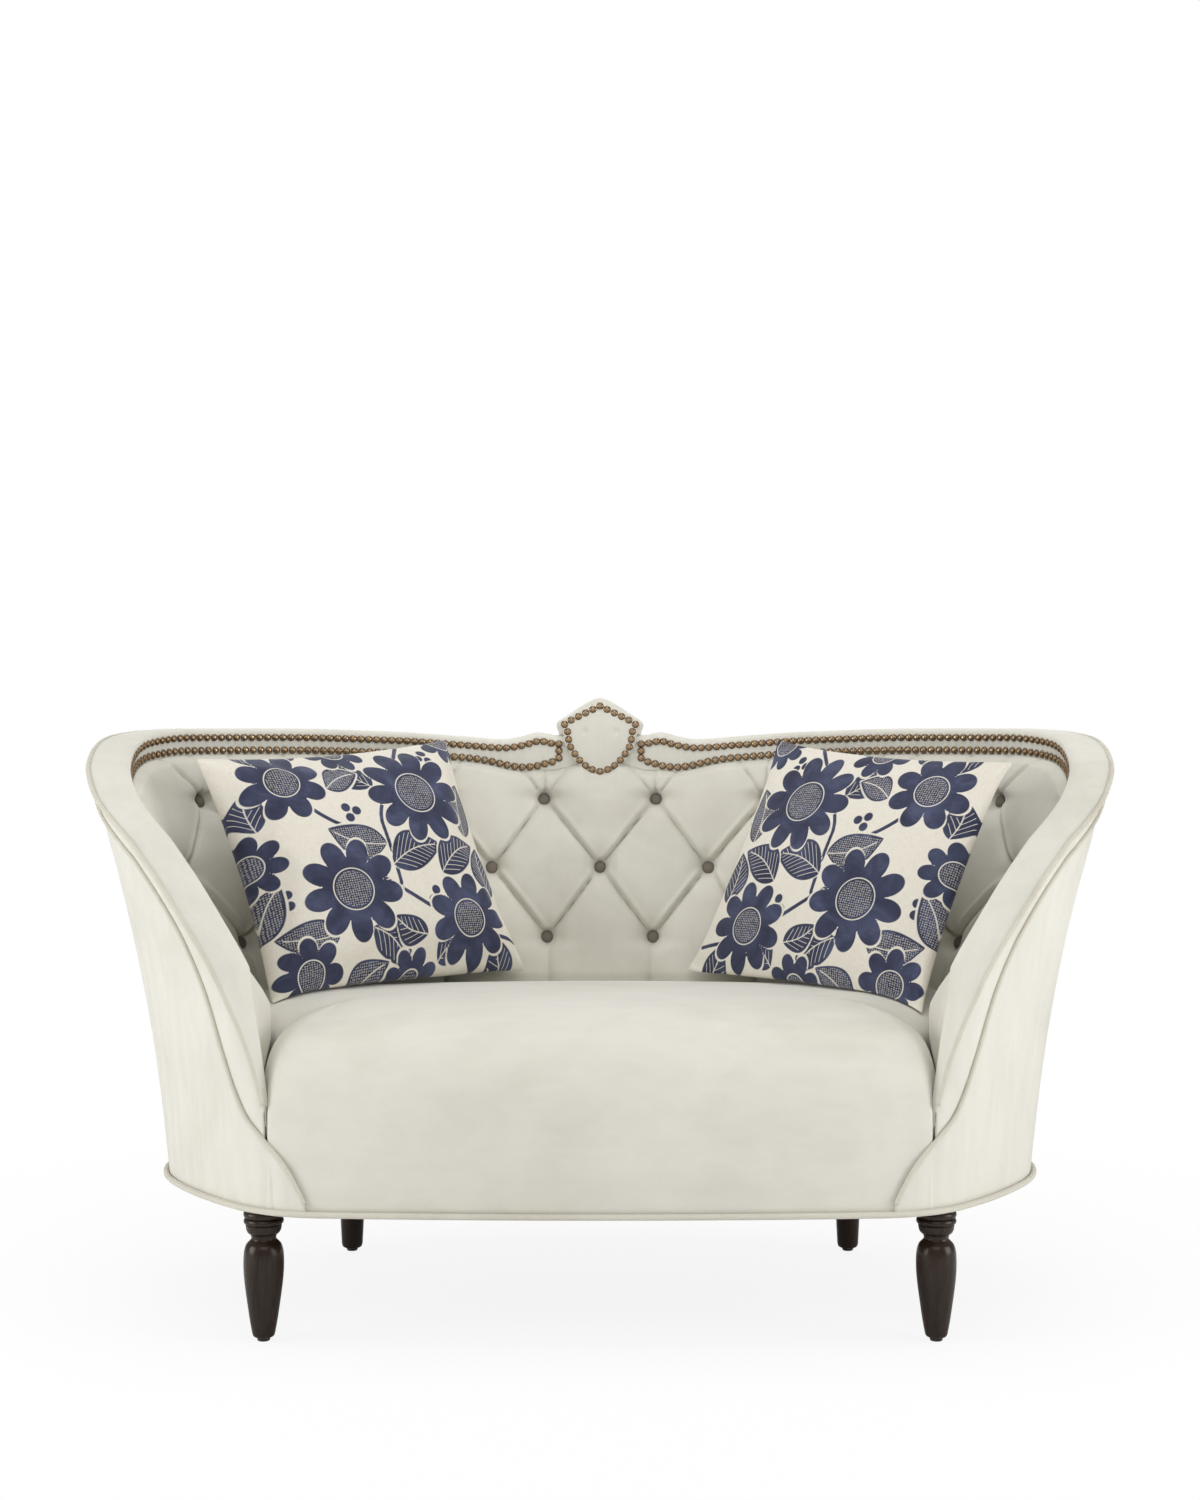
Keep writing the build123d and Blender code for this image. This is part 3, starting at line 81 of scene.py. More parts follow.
def between(points, at):
    """Smooth value through the points, without overshoot between them."""
    at = np.asarray(at, float)
    xs = np.array([p[0] for p in points], float)
    ys = np.array([p[1] for p in points], float)
    steps = np.diff(ys) / np.diff(xs)
    slopes = np.zeros(len(xs))
    slopes[0], slopes[-1] = steps[0], steps[-1]
    turn = steps[:-1] * steps[1:]
    total = np.where(turn > 0, steps[:-1] + steps[1:], 1)
    slopes[1:-1] = np.where(turn > 0, 2 * turn / total, 0)
    i = np.clip(np.searchsorted(xs, at) - 1, 0, len(xs) - 2)
    width = xs[i + 1] - xs[i]
    t = np.clip((at - xs[i]) / width, 0, 1)
    rise = ys[i] * (1 + 2 * t) * (1 - t) ** 2 + ys[i + 1] * t * t * (3 - 2 * t)
    return rise + width * (slopes[i] * t * (1 - t) ** 2 - slopes[i + 1] * t * t * (1 - t))


def ease(low, high, at):
    """0 below low, 1 above high and smooth between."""
    t = np.clip((np.asarray(at, float) - low) / (high - low), 0, 1)
    return t * t * (3 - 2 * t)


def walk_plan():
    """Half the base's length, then tables of distance, x, y and outward angle along it."""
    arcs, x, y, length, start = [], 0.0, 0.0, 0.0, 0.0
    for radius, end in PLAN_ARCS + [(None, 180)]:
        if radius is None:
            radius = x / math.sin(math.radians(180 - start))
        angles = np.radians(np.linspace(start, end, 500))
        first = math.radians(start)
        xs = x + radius * (np.sin(angles) - math.sin(first))
        ys = y + radius * (math.cos(first) - np.cos(angles))
        arcs.append((length + radius * (angles - first), xs, ys, angles))
        x, y = xs[-1], ys[-1]
        length += radius * math.radians(end - start)
        start = end
    runs, xs, ys, angles = [np.concatenate([arc[k] for arc in arcs])[::-1] for k in range(4)]
    return length, length - runs, xs, ys, angles


HALF_LENGTH, PLAN_D, PLAN_X, PLAN_Y, PLAN_ANGLE = walk_plan()
FRONT_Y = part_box("base_piping")[0].y + 0.0102

RIM_LINE = [
    (0, 0.880), (0.075, 0.881), (0.106, 0.886), (0.140, 0.878), (0.168, 0.874), (0.240, 0.879),
    (0.360, 0.887), (0.550, 0.892), (0.690, 0.891), (0.765, 0.882), (0.865, 0.835), (0.925, 0.790),
    (0.978, 0.754), (1.016, 0.726), (1.085, 0.668), (1.149, 0.601), (1.195, 0.548), (1.226, 0.502),
    (1.260, 0.426), (1.286, 0.342),
]
PANEL_EDGE = [
    (1.100, 0.619), (1.142, 0.566), (1.178, 0.502), (1.2114, 0.412),
    (1.252, 0.328), (1.277, 0.303), (1.316, 0.263), (1.356, 0.194),
]
PANEL_SEAM = 0.560
RIM_END = HALF_LENGTH - 0.4866
RIM_TAPER_START = HALF_LENGTH - 0.5706
STRIP_END = HALF_LENGTH - 0.5126
PANEL_END = HALF_LENGTH - 0.4226
PAD_END = HALF_LENGTH - 0.5826

# Stretches of the arm where one form passes into the next.
PANEL_LEAVES_RIM = (1.100, 1.150)
FOLDS_FADE = (1.10, 1.19)
PAD_THINS = (1.16, 1.25)
FACING_FALLS = (1.165, 1.205)
ARM_TIP = 1.262
WALL_DRAWN_OUT = (1.160, ARM_TIP)


def spot(distance, reach, height):
    """Point at a distance along the base line, an outward reach from it and a height."""
    given = [np.asarray(v, float) for v in (distance, reach, height)]
    distance, reach, height = np.broadcast_arrays(*given)
    away = np.abs(distance)
    side = np.where(distance < 0, -1.0, 1.0)
    angle = np.interp(away, PLAN_D, PLAN_ANGLE)
    x = np.interp(away, PLAN_D, PLAN_X) + reach * np.sin(angle)
    y = np.interp(away, PLAN_D, PLAN_Y) + FRONT_Y - reach * np.cos(angle)
    return np.stack([side * x, y, height], axis=-1)


def flare(height):
    rise = np.maximum(np.asarray(height, float) - BASE_HEIGHT, 0)
    return FLARE_SLOPE * rise + FLARE_GROWTH * rise * rise


def back_facing(distance):
    """1 where the base line faces straight back, 0 on the arms and the front."""
    lean = np.cos(np.interp(np.abs(distance), PLAN_D, PLAN_ANGLE))
    return np.where(lean < 0, lean * lean, 0)


def outer(distance, height):
    """Reach of the outside face."""
    angle = np.interp(np.abs(distance), PLAN_D, PLAN_ANGLE)
    return flare(height) * (np.sin(angle) ** 2 + FLARE_BACK_SHARE * back_facing(distance))


def rim(distance):
    """Height of the rim."""
    return between(RIM_LINE, np.abs(distance))


def steep(distance):
    """How much longer the rim is than its plan where it falls down the arm."""
    at = np.minimum(np.abs(distance), RIM_END - SLOPE_STEP)
    slope = (rim(at + SLOPE_STEP) - rim(np.abs(at - SLOPE_STEP))) / (2 * SLOPE_STEP)
    return np.minimum(np.sqrt(1 + slope * slope), STEEPEST)


def rim_width(distance):
    past = np.clip((np.abs(distance) - RIM_TAPER_START) / (RIM_END - RIM_TAPER_START), 0, 1)
    return RIM_WIDTH - (RIM_WIDTH - RIM_TIP_WIDTH) * past


def rim_outer(distance):
    return outer(distance, rim(distance))


def rim_inner(distance):
    return rim_outer(distance) - rim_width(distance)


def panel_top(distance):
    """Height of the outside panel's piped edge: along the boxing strip, then down the arm's front."""
    at = np.abs(distance)
    joined = rim(at) - STRIP_WIDTH * steep(at)
    return joined + (between(PANEL_EDGE, at) - joined) * ease(*PANEL_LEAVES_RIM, at)


def band_height(distance):
    """Height of the nail band, which dips on both sides of the crest."""
    past = (np.abs(distance) - BAND_DIP_AT) / BAND_DIP_SPAN
    return BAND_HEIGHT + BAND_DIP * np.exp(-past * past)


def seat_wall(distance):
    """Reach of the inside face where it meets the seat, drawn out to the rim at the arm's tip."""
    at = np.abs(distance)
    thick = ARM_THICKNESS + (BACK_THICKNESS - ARM_THICKNESS) * back_facing(at)
    wall = outer(at, SEAT_HEIGHT) - thick
    tip = rim_inner(np.minimum(at, RIM_END)) - 0.003
    return wall + (tip - wall) * ease(*WALL_DRAWN_OUT, at)


def pad_top(distance):
    """Height where the tufted pad ends, under the nail band or round the shield."""
    at = np.abs(distance)
    shield = SHIELD_BOTTOM + 0.008 + between(SHIELD_EDGE, at)
    under_band = rim(at) - band_height(at) - 0.001
    return np.where(at < SHIELD_EDGE[-1][0], np.minimum(under_band, shield), under_band)


# Shared mesh helpers.
def pick(piece):
    bpy.ops.object.select_all(action="DESELECT")
    piece.select_set(True)
    bpy.context.view_layer.objects.active = piece


def open_mesh(piece):
    """Opens a mesh for editing with all of it selected."""
    pick(piece)
    bpy.ops.object.mode_set(mode="EDIT")
    bpy.ops.mesh.select_all(action="SELECT")


def weld(piece, threshold):
    """Joins the points that lie together and turns the faces outward."""
    open_mesh(piece)
    bpy.ops.mesh.remove_doubles(threshold=threshold)
    bpy.ops.mesh.normals_make_consistent(inside=False)
    bpy.ops.object.mode_set(mode="OBJECT")


def mesh_piece(name, points, faces):
    """Mesh object from points and faces, shaded smooth, with its faces turned outward."""
    mesh = bpy.data.meshes.new(name)
    mesh.from_pydata([tuple(p) for p in points], [], [tuple(f) for f in faces])
    piece = bpy.data.objects.new(name, mesh)
    bpy.context.scene.collection.objects.link(piece)
    work = bmesh.new()
    work.from_mesh(mesh)
    bmesh.ops.recalc_face_normals(work, faces=work.faces)
    for face in work.faces:
        face.smooth = True
    work.to_mesh(mesh)
    work.free()
    return piece


def ring_faces(rows, columns, closed_rows):
    """Quads of a grid whose columns close into rings, and whose rows may close too."""
    last = rows if closed_rows else rows - 1
    i, j = np.meshgrid(np.arange(last), np.arange(columns), indexing="ij")
    i, j = i.ravel(), j.ravel()
    here, after = i * columns, (i + 1) % rows * columns
    beside = (j + 1) % columns
    return np.stack([here + j, after + j, after + beside, here + beside], axis=1)


def tube_piece(name, points, closed_rows=False):
    """Closed form from rings of points; open ends get a flat cap."""
    rows, columns = points.shape[:2]
    faces = [tuple(f) for f in ring_faces(rows, columns, closed_rows)]
    if not closed_rows:
        faces.append(tuple(range(columns)))
        faces.append(tuple((rows - 1) * columns + k for k in range(columns)))
    return mesh_piece(name, points.reshape(-1, 3), faces)


def cord_piece(name, path, radius, closed=False, sides=12):
    """Round covered cord along a path."""
    if closed:
        along = np.roll(path, -1, axis=0) - np.roll(path, 1, axis=0)
    else:
        along = np.gradient(path, axis=0)
    along /= np.linalg.norm(along, axis=1)[:, None]
    across = np.cross(along, [0, 0, 1.0])
    across /= np.linalg.norm(across, axis=1)[:, None]
    above = np.cross(across, along)
    turn = np.linspace(0, 2 * math.pi, sides, endpoint=False)[None, :, None]
    round_path = np.cos(turn) * across[:, None] + np.sin(turn) * above[:, None]
    return tube_piece(name, path[:, None] + radius * round_path, closed)


def taken(shape):
    """Points and faces of a scratch object, which is then removed."""
    points = np.array([v.co for v in shape.data.vertices])
    faces = [tuple(p.vertices) for p in shape.data.polygons]
    bpy.data.objects.remove(shape)
    return points, faces


def stamped(name, points, faces, places):
    """One piece from copies of a small shape, each set at a point along a unit normal."""
    every, joined = [], []
    for place, normal in places:
        side = np.cross([0, 0, 1.0], normal)
        side /= np.linalg.norm(side)
        first = len(every)
        every += list(place + points @ np.stack([side, np.cross(normal, side), normal]))
        joined += [tuple(k + first for k in face) for face in faces]
    return mesh_piece(name, every, joined)


def finish_piece(piece, material, replaced, body=BODY):
    piece.data.materials.clear()
    piece.data.materials.append(material)
    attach(piece, body)
    if replaced:
        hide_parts(*replaced)
    return piece


def spaced(*runs):
    """Distances along runs of (start, end, count), mirrored to the left side."""
    steps = [np.linspace(start, end, count, endpoint=False) for start, end, count in runs]
    half = np.concatenate(steps + [[runs[-1][1]]])
    return np.concatenate([-half[:0:-1], half])


# Materials.
WHITE = (1, 1, 1)


class Graph:
    """Small builder of shader nodes in one node tree."""

    def __init__(self, tree):
        self.nodes, self.links = tree.nodes, tree.links

    def put(self, value, socket):
        """Sets a socket to a number, color or vector, or links another socket to it."""
        if isinstance(value, bpy.types.NodeSocket):
            self.links.new(value, socket)
        elif socket.type == "RGBA":
            socket.default_value = (*value, 1)
        else:
            socket.default_value = value

    def node(self, kind, **values):
        node = self.nodes.new("ShaderNode" + kind)
        for key, value in values.items():
            self.put(value, node.inputs[key.replace("_", " ")])
        return node

    def span(self, value, low, high, to_low=0.0, to_high=1.0):
        node = self.node("MapRange", Value=value, From_Min=low, From_Max=high, To_Min=to_low, To_Max=to_high)
        return node.outputs["Result"]

    def math(self, kind, one, two=None):
        node = self.node("Math")
        node.operation = kind
        self.put(one, node.inputs[0])
        if two is not None:
            self.put(two, node.inputs[1])
        return node.outputs["Value"]


class Finish(Graph):
    """Material round one principled shader, placed by object coordinates."""

    def __init__(self, name):
        self.material = bpy.data.materials.new(name)
        self.material.use_nodes = True
        super().__init__(self.material.node_tree)
        self.shader = self.nodes["Principled BSDF"]
        self.place = self.node("TexCoord").outputs["Object"]

    def moved(self, scale):
        return self.node("Mapping", Vector=self.place, Scale=scale).outputs["Vector"]

    def noise(self, scale, detail=2, rough=0.5, at=None, bend=0.0):
        node = self.node("TexNoise", Vector=at or self.place, Scale=scale, Detail=detail, Roughness=rough)
        node.inputs["Distortion"].default_value = bend
        return node.outputs["Fac"]

    def ramp(self, value, stops):
        node = self.node("ValToRGB", Fac=value)
        ends = node.color_ramp.elements
        for end, (position, color) in ((ends[0], stops[0]), (ends[1], stops[-1])):
            end.position, end.color = position, (*color, 1)
        for position, color in stops[1:-1]:
            ends.new(position).color = (*color, 1)
        return node.outputs["Color"]

    def mix(self, share, one, two, blend="MIX"):
        node = self.node("Mix")
        node.data_type = "RGBA"
        node.blend_type = blend
        for value, number in ((share, 0), (one, 6), (two, 7)):
            self.put(value, node.inputs[number])
        return node.outputs[2]

    def attribute(self, name):
        node = self.node("Attribute")
        node.attribute_name = name
        return node.outputs["Fac"]

    def bump(self, height, strength, distance, under=None):
        node = self.node("Bump", Height=height, Strength=strength, Distance=distance)
        if under is not None:
            self.put(under, node.inputs["Normal"])
        return node.outputs["Normal"]

    def surface(self, color, rough, normal=None, **values):
        """Joins color, roughness and bump to the shader and sets its other values."""
        self.put(color, self.shader.inputs["Base Color"])
        self.put(rough, self.shader.inputs["Roughness"])
        if normal is not None:
            self.put(normal, self.shader.inputs["Normal"])
        for key, value in values.items():
            self.shader.inputs[key.replace("_", " ")].default_value = value
        return self.material


def velvet(name, color, dark, streak=(5, 5, 1.3)):
    """Cut pile: broad brushed patches, faint nap streaks and a fine pile."""
    finish = Finish(name)
    patches = finish.noise(3.1, 3, 0.55, bend=0.7)
    streaks = finish.noise(7, 3, 0.6, finish.moved(streak), 0.4)
    pile = finish.noise(1500, 1, 0.6)
    light = tuple(min(1, c * 1.035) for c in color)
    shade = finish.ramp(patches, [(0.30, dark), (0.52, color), (0.75, light)])
    wear_and_painted_light = finish.ramp(streaks, [(0.28, (0.93, 0.93, 0.925)), (0.62, WHITE)])
    fleck = finish.ramp(pile, [(0.25, (0.94, 0.94, 0.94)), (0.7, WHITE)])
    cloth = finish.mix(0.75, shade, wear_and_painted_light, "MULTIPLY")
    soft = finish.bump(finish.noise(60, 2, 0.5), 0.08, 0.002)
    return finish.surface(
        finish.mix(0.7, cloth, fleck, "MULTIPLY"),
        finish.span(patches, 0.25, 0.75, 0.92, 0.81),
        finish.bump(pile, 0.22, 0.0006, soft),
        Sheen_Weight=0.32, Sheen_Roughness=0.38, Specular_IOR_Level=0.18,
    )


def brass():
    """Antique brass: painted highlight on the middle of each dome, painted shade round its edge, and dark
    patina in small pits.
    """
    finish = Finish("antique_brass")
    patina = finish.noise(420, 3, 0.6)
    # Painted highlight in the middle of each nail's dome, fading to painted shade round its edge.
    wear_and_painted_light = [(0.0, (0.60, 0.45, 0.29)), (0.45, (0.40, 0.28, 0.165)), (0.95, (0.17, 0.108, 0.060))]
    edge = finish.ramp(finish.attribute("dome"), wear_and_painted_light)
    spots = finish.ramp(patina, [(0.34, (0.42, 0.34, 0.28)), (0.56, WHITE)])
    return finish.surface(
        finish.mix(0.8, edge, spots, "MULTIPLY"),
        finish.span(patina, 0.3, 0.7, 0.42, 0.24),
        finish.bump(patina, 0.12, 0.0004),
        Metallic=0.92,
    )


def stained_wood(name, color, dark, rough, coat, grain=(26, 26, 1.6)):
    """Close-grained hardwood: long grain, fine pores and a thin lacquer."""
    finish = Finish(name)
    long_grain = finish.noise(4, 5, 0.62, finish.moved(grain), 0.8)
    pores = finish.noise(90, 2, 0.6, finish.moved((6, 6, 0.5)))
    wood = finish.ramp(long_grain, [(0.30, dark), (0.70, color)])
    pits = finish.ramp(pores, [(0.30, (0.62, 0.60, 0.58)), (0.46, WHITE)])
    return finish.surface(
        finish.mix(0.7, wood, pits, "MULTIPLY"),
        finish.span(long_grain, 0.2, 0.8, rough + 0.07, rough - 0.06),
        finish.bump(pores, 0.10, 0.0006),
        Coat_Weight=coat, Coat_Roughness=0.28, Specular_IOR_Level=0.26,
    )


def plain(name, color, dark, scale, rough, metallic=0.0):
    """Speckled finish for the pieces inside and under the settee."""
    finish = Finish(name)
    speck = finish.noise(scale, 3, 0.6)
    return finish.surface(
        finish.ramp(speck, [(0.32, dark), (0.66, color)]),
        finish.span(speck, 0.2, 0.8, rough + 0.08, rough - 0.08),
        finish.bump(speck, 0.2, 0.0008),
        Metallic=metallic,
    )


cover_velvet = velvet("cover_velvet", (0.735, 0.718, 0.640), (0.665, 0.645, 0.565))
# The inside back and arms take a darker copy of the cover velvet: painted shade.
inside_velvet_painted_shade = velvet("inside_velvet_painted_shade", (0.700, 0.680, 0.600), (0.630, 0.608, 0.528), (3, 3, 2))
seat_velvet = velvet("seat_velvet", (0.728, 0.711, 0.632), (0.672, 0.652, 0.572), (2.2, 4, 4))
# The piping is the cover velvet darkened: painted shade for the shadow gaps beside the cords.
piping_velvet_painted_shade = velvet("piping_velvet_painted_shade", (0.640, 0.615, 0.525), (0.560, 0.530, 0.440), (9, 9, 9))
button_velvet = velvet("button_velvet", (0.205, 0.178, 0.145), (0.150, 0.128, 0.102), (20, 20, 20))
nail_brass = brass()
leg_wood = stained_wood("espresso_wood", (0.034, 0.019, 0.0105), (0.0145, 0.0085, 0.0050), 0.27, 0.05)
frame_wood = stained_wood("frame_wood", (0.60, 0.44, 0.28), (0.44, 0.30, 0.17), 0.62, 0.0, (3, 18, 18))
lining = plain("lining_cloth", (0.035, 0.035, 0.036), (0.016, 0.016, 0.017), 700, 0.9)
zinc = plain("zinc_steel", (0.60, 0.60, 0.60), (0.42, 0.42, 0.43), 260, 0.38, 1.0)
jute = plain("jute_webbing", (0.47, 0.36, 0.22), (0.31, 0.23, 0.13), 480, 0.92)
nylon = plain("glide_nylon", (0.030, 0.028, 0.027), (0.018, 0.017, 0.016), 300, 0.5)


def dress(material, *names):
    for name in names:
        for slot in nodes[name].material_slots:
            slot.material = material


dress(frame_wood, "front_rail", "rear_rail", "side_rail_left", "side_rail_right", "corner_blocks")
dress(frame_wood, "back_post_centre", "back_post_left", "back_post_right", "tack_rail", "top_rail")
dress(frame_wood, "side_post_left", "side_post_right", "arm_post_left", "arm_post_right", "crest_core")
dress(zinc, "block_screws", "seat_springs", "spring_clips", "leg_bolts", "leg_nuts")
dress(lining, "seat_deck", "dust_cover")
dress(jute, "back_webbing")
dress(nylon, "glides")


# Tufted inside back and arms.
PAD_OVERHANG = 0.015
PAD_CROWN = 0.014
TUFT_FOLD = 0.0195
TUFT_PIT = 0.015
TUFT_ROW_STEP = 0.117
TUFT_MIDDLE_ROW = SEAT_HEIGHT + 0.175
TUFT_PITCH = PAD_END / 6
FOLD_SLANT = 0.763
CREASE_WIDTH = 0.0034
ROLL_WIDTH = 0.0050
ROLL_AWAY = 0.0085
PLEAT_WIDTH = 0.011
FAN_WIDTH = 0.0042
FAN_LEANS = (-0.75, 0.0, 0.75)
PIT_RADIUS = 0.022
WELL_RADIUS = 0.0142
BUTTON_RADIUS = 0.011
BUTTON_PROUD = 0.0035


def tuft_depth(distance, height):
    """Depth of the folds: diamonds between the buttons, pleats down to the seat, fans up to the band."""
    across = distance / TUFT_PITCH
    up = (height - TUFT_MIDDLE_ROW) / (2 * TUFT_ROW_STEP)
    inside_rows = np.clip(up, -0.5, 0.5)
    one = np.abs(np.sin(np.pi * (across + inside_rows)))
    two = np.abs(np.sin(np.pi * (across - inside_rows)))
    crown = (one * two) ** 0.42
    diamond = 1 - np.clip(crown + (1 - crown) * 0.34 * np.maximum(one, two), 0, 1)
    # Each crease has a soft roll on the side that is folded over.
    for turn in (1, -1):
        phase = np.pi * (across + turn * inside_rows)
        away = np.arcsin(np.clip(np.sin(phase), -1, 1)) / np.pi * TUFT_PITCH * FOLD_SLANT
        away = away * np.sign(np.cos(phase)) * turn
        diamond = diamond + 0.42 * np.exp(-np.abs(away) / CREASE_WIDTH)
        diamond = diamond - 0.17 * np.exp(-((away - ROLL_AWAY) / ROLL_WIDTH) ** 2)
    # Above and below the rows only the columns of the outer buttons hold folds.
    past = np.clip((np.abs(up) - 0.5) * 2 * TUFT_ROW_STEP, 0, 1)
    column = (across + 0.5 - np.round(across + 0.5)) * TUFT_PITCH
    broad = 1 - np.abs(np.sin(np.pi * (across + 0.5))) ** 0.5
    pleat = 0.62 * np.exp(-np.abs(column) / PLEAT_WIDTH) + 0.38 * broad
    fan = 0.30 * broad
    for lean in FAN_LEANS:
        fan = np.maximum(fan, 0.62 * np.exp(-np.abs(column - lean * past) / FAN_WIDTH))
    share = ease(0.0, 0.022, past)
    return diamond * (1 - share) + share * np.where(up > 0, 0.9 * fan, 0.8 * pleat)


def button_spots():
    """Distance and height of every button: three staggered rows."""
    places = []
    for row in (-1, 0, 1):
        height = TUFT_MIDDLE_ROW + row * TUFT_ROW_STEP
        shift = 0 if row == 0 else 0.5
        for step in range(-7, 8):
            at = (step + shift) * TUFT_PITCH
            if abs(at) < PAD_END - 0.040 and height < float(pad_top(at)) - 0.026:
                places.append((at, height))
    return places


def inside_face(distance, height):
    """Reach of the inside face without its folds."""
    at = np.abs(distance)
    top = pad_top(distance)
    low_height = np.minimum(SEAT_HEIGHT, top - 0.060)
    low = seat_wall(distance)
    high = rim_inner(np.minimum(at, RIM_END)) - PAD_OVERHANG * (1 - 0.7 * ease(*PAD_THINS, at))
    t = np.clip((height - low_height) / (top - low_height), 0, 1)
    crown = PAD_CROWN * np.clip((top - SEAT_HEIGHT) / 0.2, 0, 1)
    return low + (high - low) * t - crown * np.sin(np.pi * t)


def pad_face(distance, height):
    """Reach of the tufted face, with its folds, the pits round the buttons and their wells."""
    top = pad_top(distance)
    fade = np.clip(0.72 + 0.28 * (top - height) / 0.050, 0, 1) * (1 - ease(*FOLDS_FADE, np.abs(distance)))
    pits = np.zeros_like(np.broadcast_arrays(distance, height)[0], float)
    wells = np.zeros_like(pits)
    for at, row in button_spots():
        away = (distance - at) ** 2 + (height - row) ** 2
        pits = np.maximum(pits, np.exp(-away / PIT_RADIUS ** 2))
        wells = np.maximum(wells, np.exp(-((away / WELL_RADIUS ** 2) ** 2.5)))
    folds = tuft_depth(distance, height)
    folds = folds + (1.12 - folds) * wells
    roll = 0.010 * ease(0.0, 1.0, np.clip(1 - (top - height) / 0.012, 0, 1))
    return inside_face(distance, height) + fade * (TUFT_FOLD * folds + TUFT_PIT * pits) + roll


def tufted_back():
    d = spaced((0, 0.90, 330), (0.90, 1.19, 110), (1.19, 1.256, 26))[:, None]
    at = np.abs(d)
    top = pad_top(d)
    low = np.minimum(SEAT_HEIGHT - 0.045, top - 0.070)
    heights = low + (top - low) * np.linspace(0, 1, 118)[None, :]
    front = spot(d, pad_face(d, heights), heights)
    # The stuffing behind stays deeper than the deepest fold.
    back_rise = np.linspace(1, 0, 7)[None, :]
    back_heights = low + (top - low) * back_rise
    reach = seat_wall(d) + 0.034 * (1 - ease(*PAD_THINS, at)) + 0.002
    upper = rim_inner(np.minimum(at, RIM_END)) + 0.0016
    plain_back = reach + (np.maximum(upper, reach) - reach) * back_rise
    clear = np.clip((top - back_heights) / 0.060, 0, 1) * (1 - ease(*FOLDS_FADE, at))
    deep = inside_face(d, back_heights) + clear * (1.35 * TUFT_FOLD + TUFT_PIT + 0.006)
    back = spot(d, np.maximum(plain_back, deep), back_heights)
    piece = tube_piece("tufted_back", np.concatenate([front, back], axis=1))
    return finish_piece(piece, inside_velvet_painted_shade, ["inside_back", "back_foam"])


TUFTED_BACK = tufted_back()


def covered_buttons():
    """Covered buttons, one shape copied to every well of the back."""
    bpy.ops.mesh.primitive_uv_sphere_add(segments=24, ring_count=14, radius=BUTTON_RADIUS)
    points, faces = taken(bpy.context.object)
    points[:, 2] *= np.where(points[:, 2] > 0, 0.66, 0.5)
    places = []
    for at, height in button_spots():
        d, z = np.array(at), np.array(height)
        reach = float(pad_face(d, z)) - BUTTON_PROUD
        place = spot(d, reach, z)
        inward = spot(d, reach - 1, z) - place
        inward /= np.linalg.norm(inward)
        slope = float(inside_face(d, z + 0.02) - inside_face(d, z - 0.02)) / 0.04
        lean = math.atan(slope)
        places.append((place, inward * math.cos(lean) + np.array([0, 0, math.sin(lean)])))
    piece = stamped("covered_buttons", points, faces, places)
    return finish_piece(piece, button_velvet, ["tuft_buttons"])


covered_buttons()


# Padded rim with its nail band.
RIM_PUFF = 0.0036
RIM_SINK = 0.0015


def rim_cover():
    d = spaced((0, 0.24, 130), (0.24, 0.80, 170), (0.80, 1.15, 150), (1.15, RIM_END, 90))[:, None]
    drop = steep(d)
    high = rim(d)
    sunk = high - RIM_SINK * drop
    inner, wide = rim_inner(d), rim_width(d)
    full = wide / RIM_WIDTH
    t = np.linspace(0, 1, 17)[None, :]
    crown = RIM_PUFF * full * (1 - (2 * t - 1) ** 4) + 0.0006
    top = spot(d, inner + wide * (1 - t), sunk + crown)
    curl = np.radians(np.linspace(20, 90, 5))[None, :]
    curl_reach = inner - 0.0042 * full * np.sin(curl) * 0.55
    turn = spot(d, curl_reach, sunk - 0.0005 - 0.008 * full * (1 - np.cos(curl)))
    # On the arm's front the band widens into a facing that goes down behind the panel.
    start = sunk - 0.0095 * full
    low = high - band_height(d) - 0.004
    tip = np.minimum(0.405, panel_top(d) - 0.015)
    low = low + (np.minimum(low, tip) - low) * ease(*FACING_FALLS, np.abs(d))
    low = np.minimum(low, start - 0.006)
    fall = np.linspace(0, 1, 9)[None, :]
    band = spot(d, inner + 0.0006 - 0.0012 * np.sin(np.pi * fall), start + (low - start) * fall)
    hem = spot(d, inner + 0.0026, low)
    inside = spot(d, inner + 0.0045, high - 0.012 * drop)
    under = spot(d, inner + wide - 0.0035, high - 0.009 * drop)
    edge = spot(d, inner + wide - 0.0004, high - 0.0062 * drop)
    piece = tube_piece("rim_cover", np.concatenate([top, turn, band, hem, inside, under, edge], axis=1))
    replaced = ["rim_band", "nail_band", "arm_facing_left", "arm_facing_right"]
    return finish_piece(piece, cover_velvet, replaced)


rim_cover()


# Outside panels, the boxing strip above them and the piping of their seams.
def outside_cover():
    d = spaced((0, 0.80, 210), (0.80, STRIP_END, 170), (STRIP_END, PANEL_END, 34))[:, None]
    low, top = BASE_HEIGHT + 0.001, panel_top(d) - 0.0006
    rise = np.linspace(0, 1, 62)[None, :]
    heights = low + (top - low) * rise
    ends = np.clip(np.minimum(rise, 1 - rise) * 9, 0, 1)
    wave = 0.0007 * np.sin(d * 71 + 1.7 * np.sin(heights * 9)) + 0.0005 * np.sin(d * 173 + 2.3)
    from_seam = np.abs(d) - PANEL_SEAM
    seam = 0.0026 * np.exp(-(from_seam / 0.0028) ** 2)
    stitched = 0.0016 * np.exp(-(from_seam / 0.016) ** 2)
    face = spot(d, outer(d, heights) + (0.0012 + wave) * ends - seam + stitched, heights)
    back_heights = heights[:, ::-8]
    back = spot(d, outer(d, back_heights) - 0.0042, back_heights)
    piece = tube_piece("outside_cover", np.concatenate([face, back], axis=1))
    replaced = ["outside_back", "outside_arm_left", "outside_arm_right"]
    return finish_piece(piece, cover_velvet, replaced)


outside_cover()


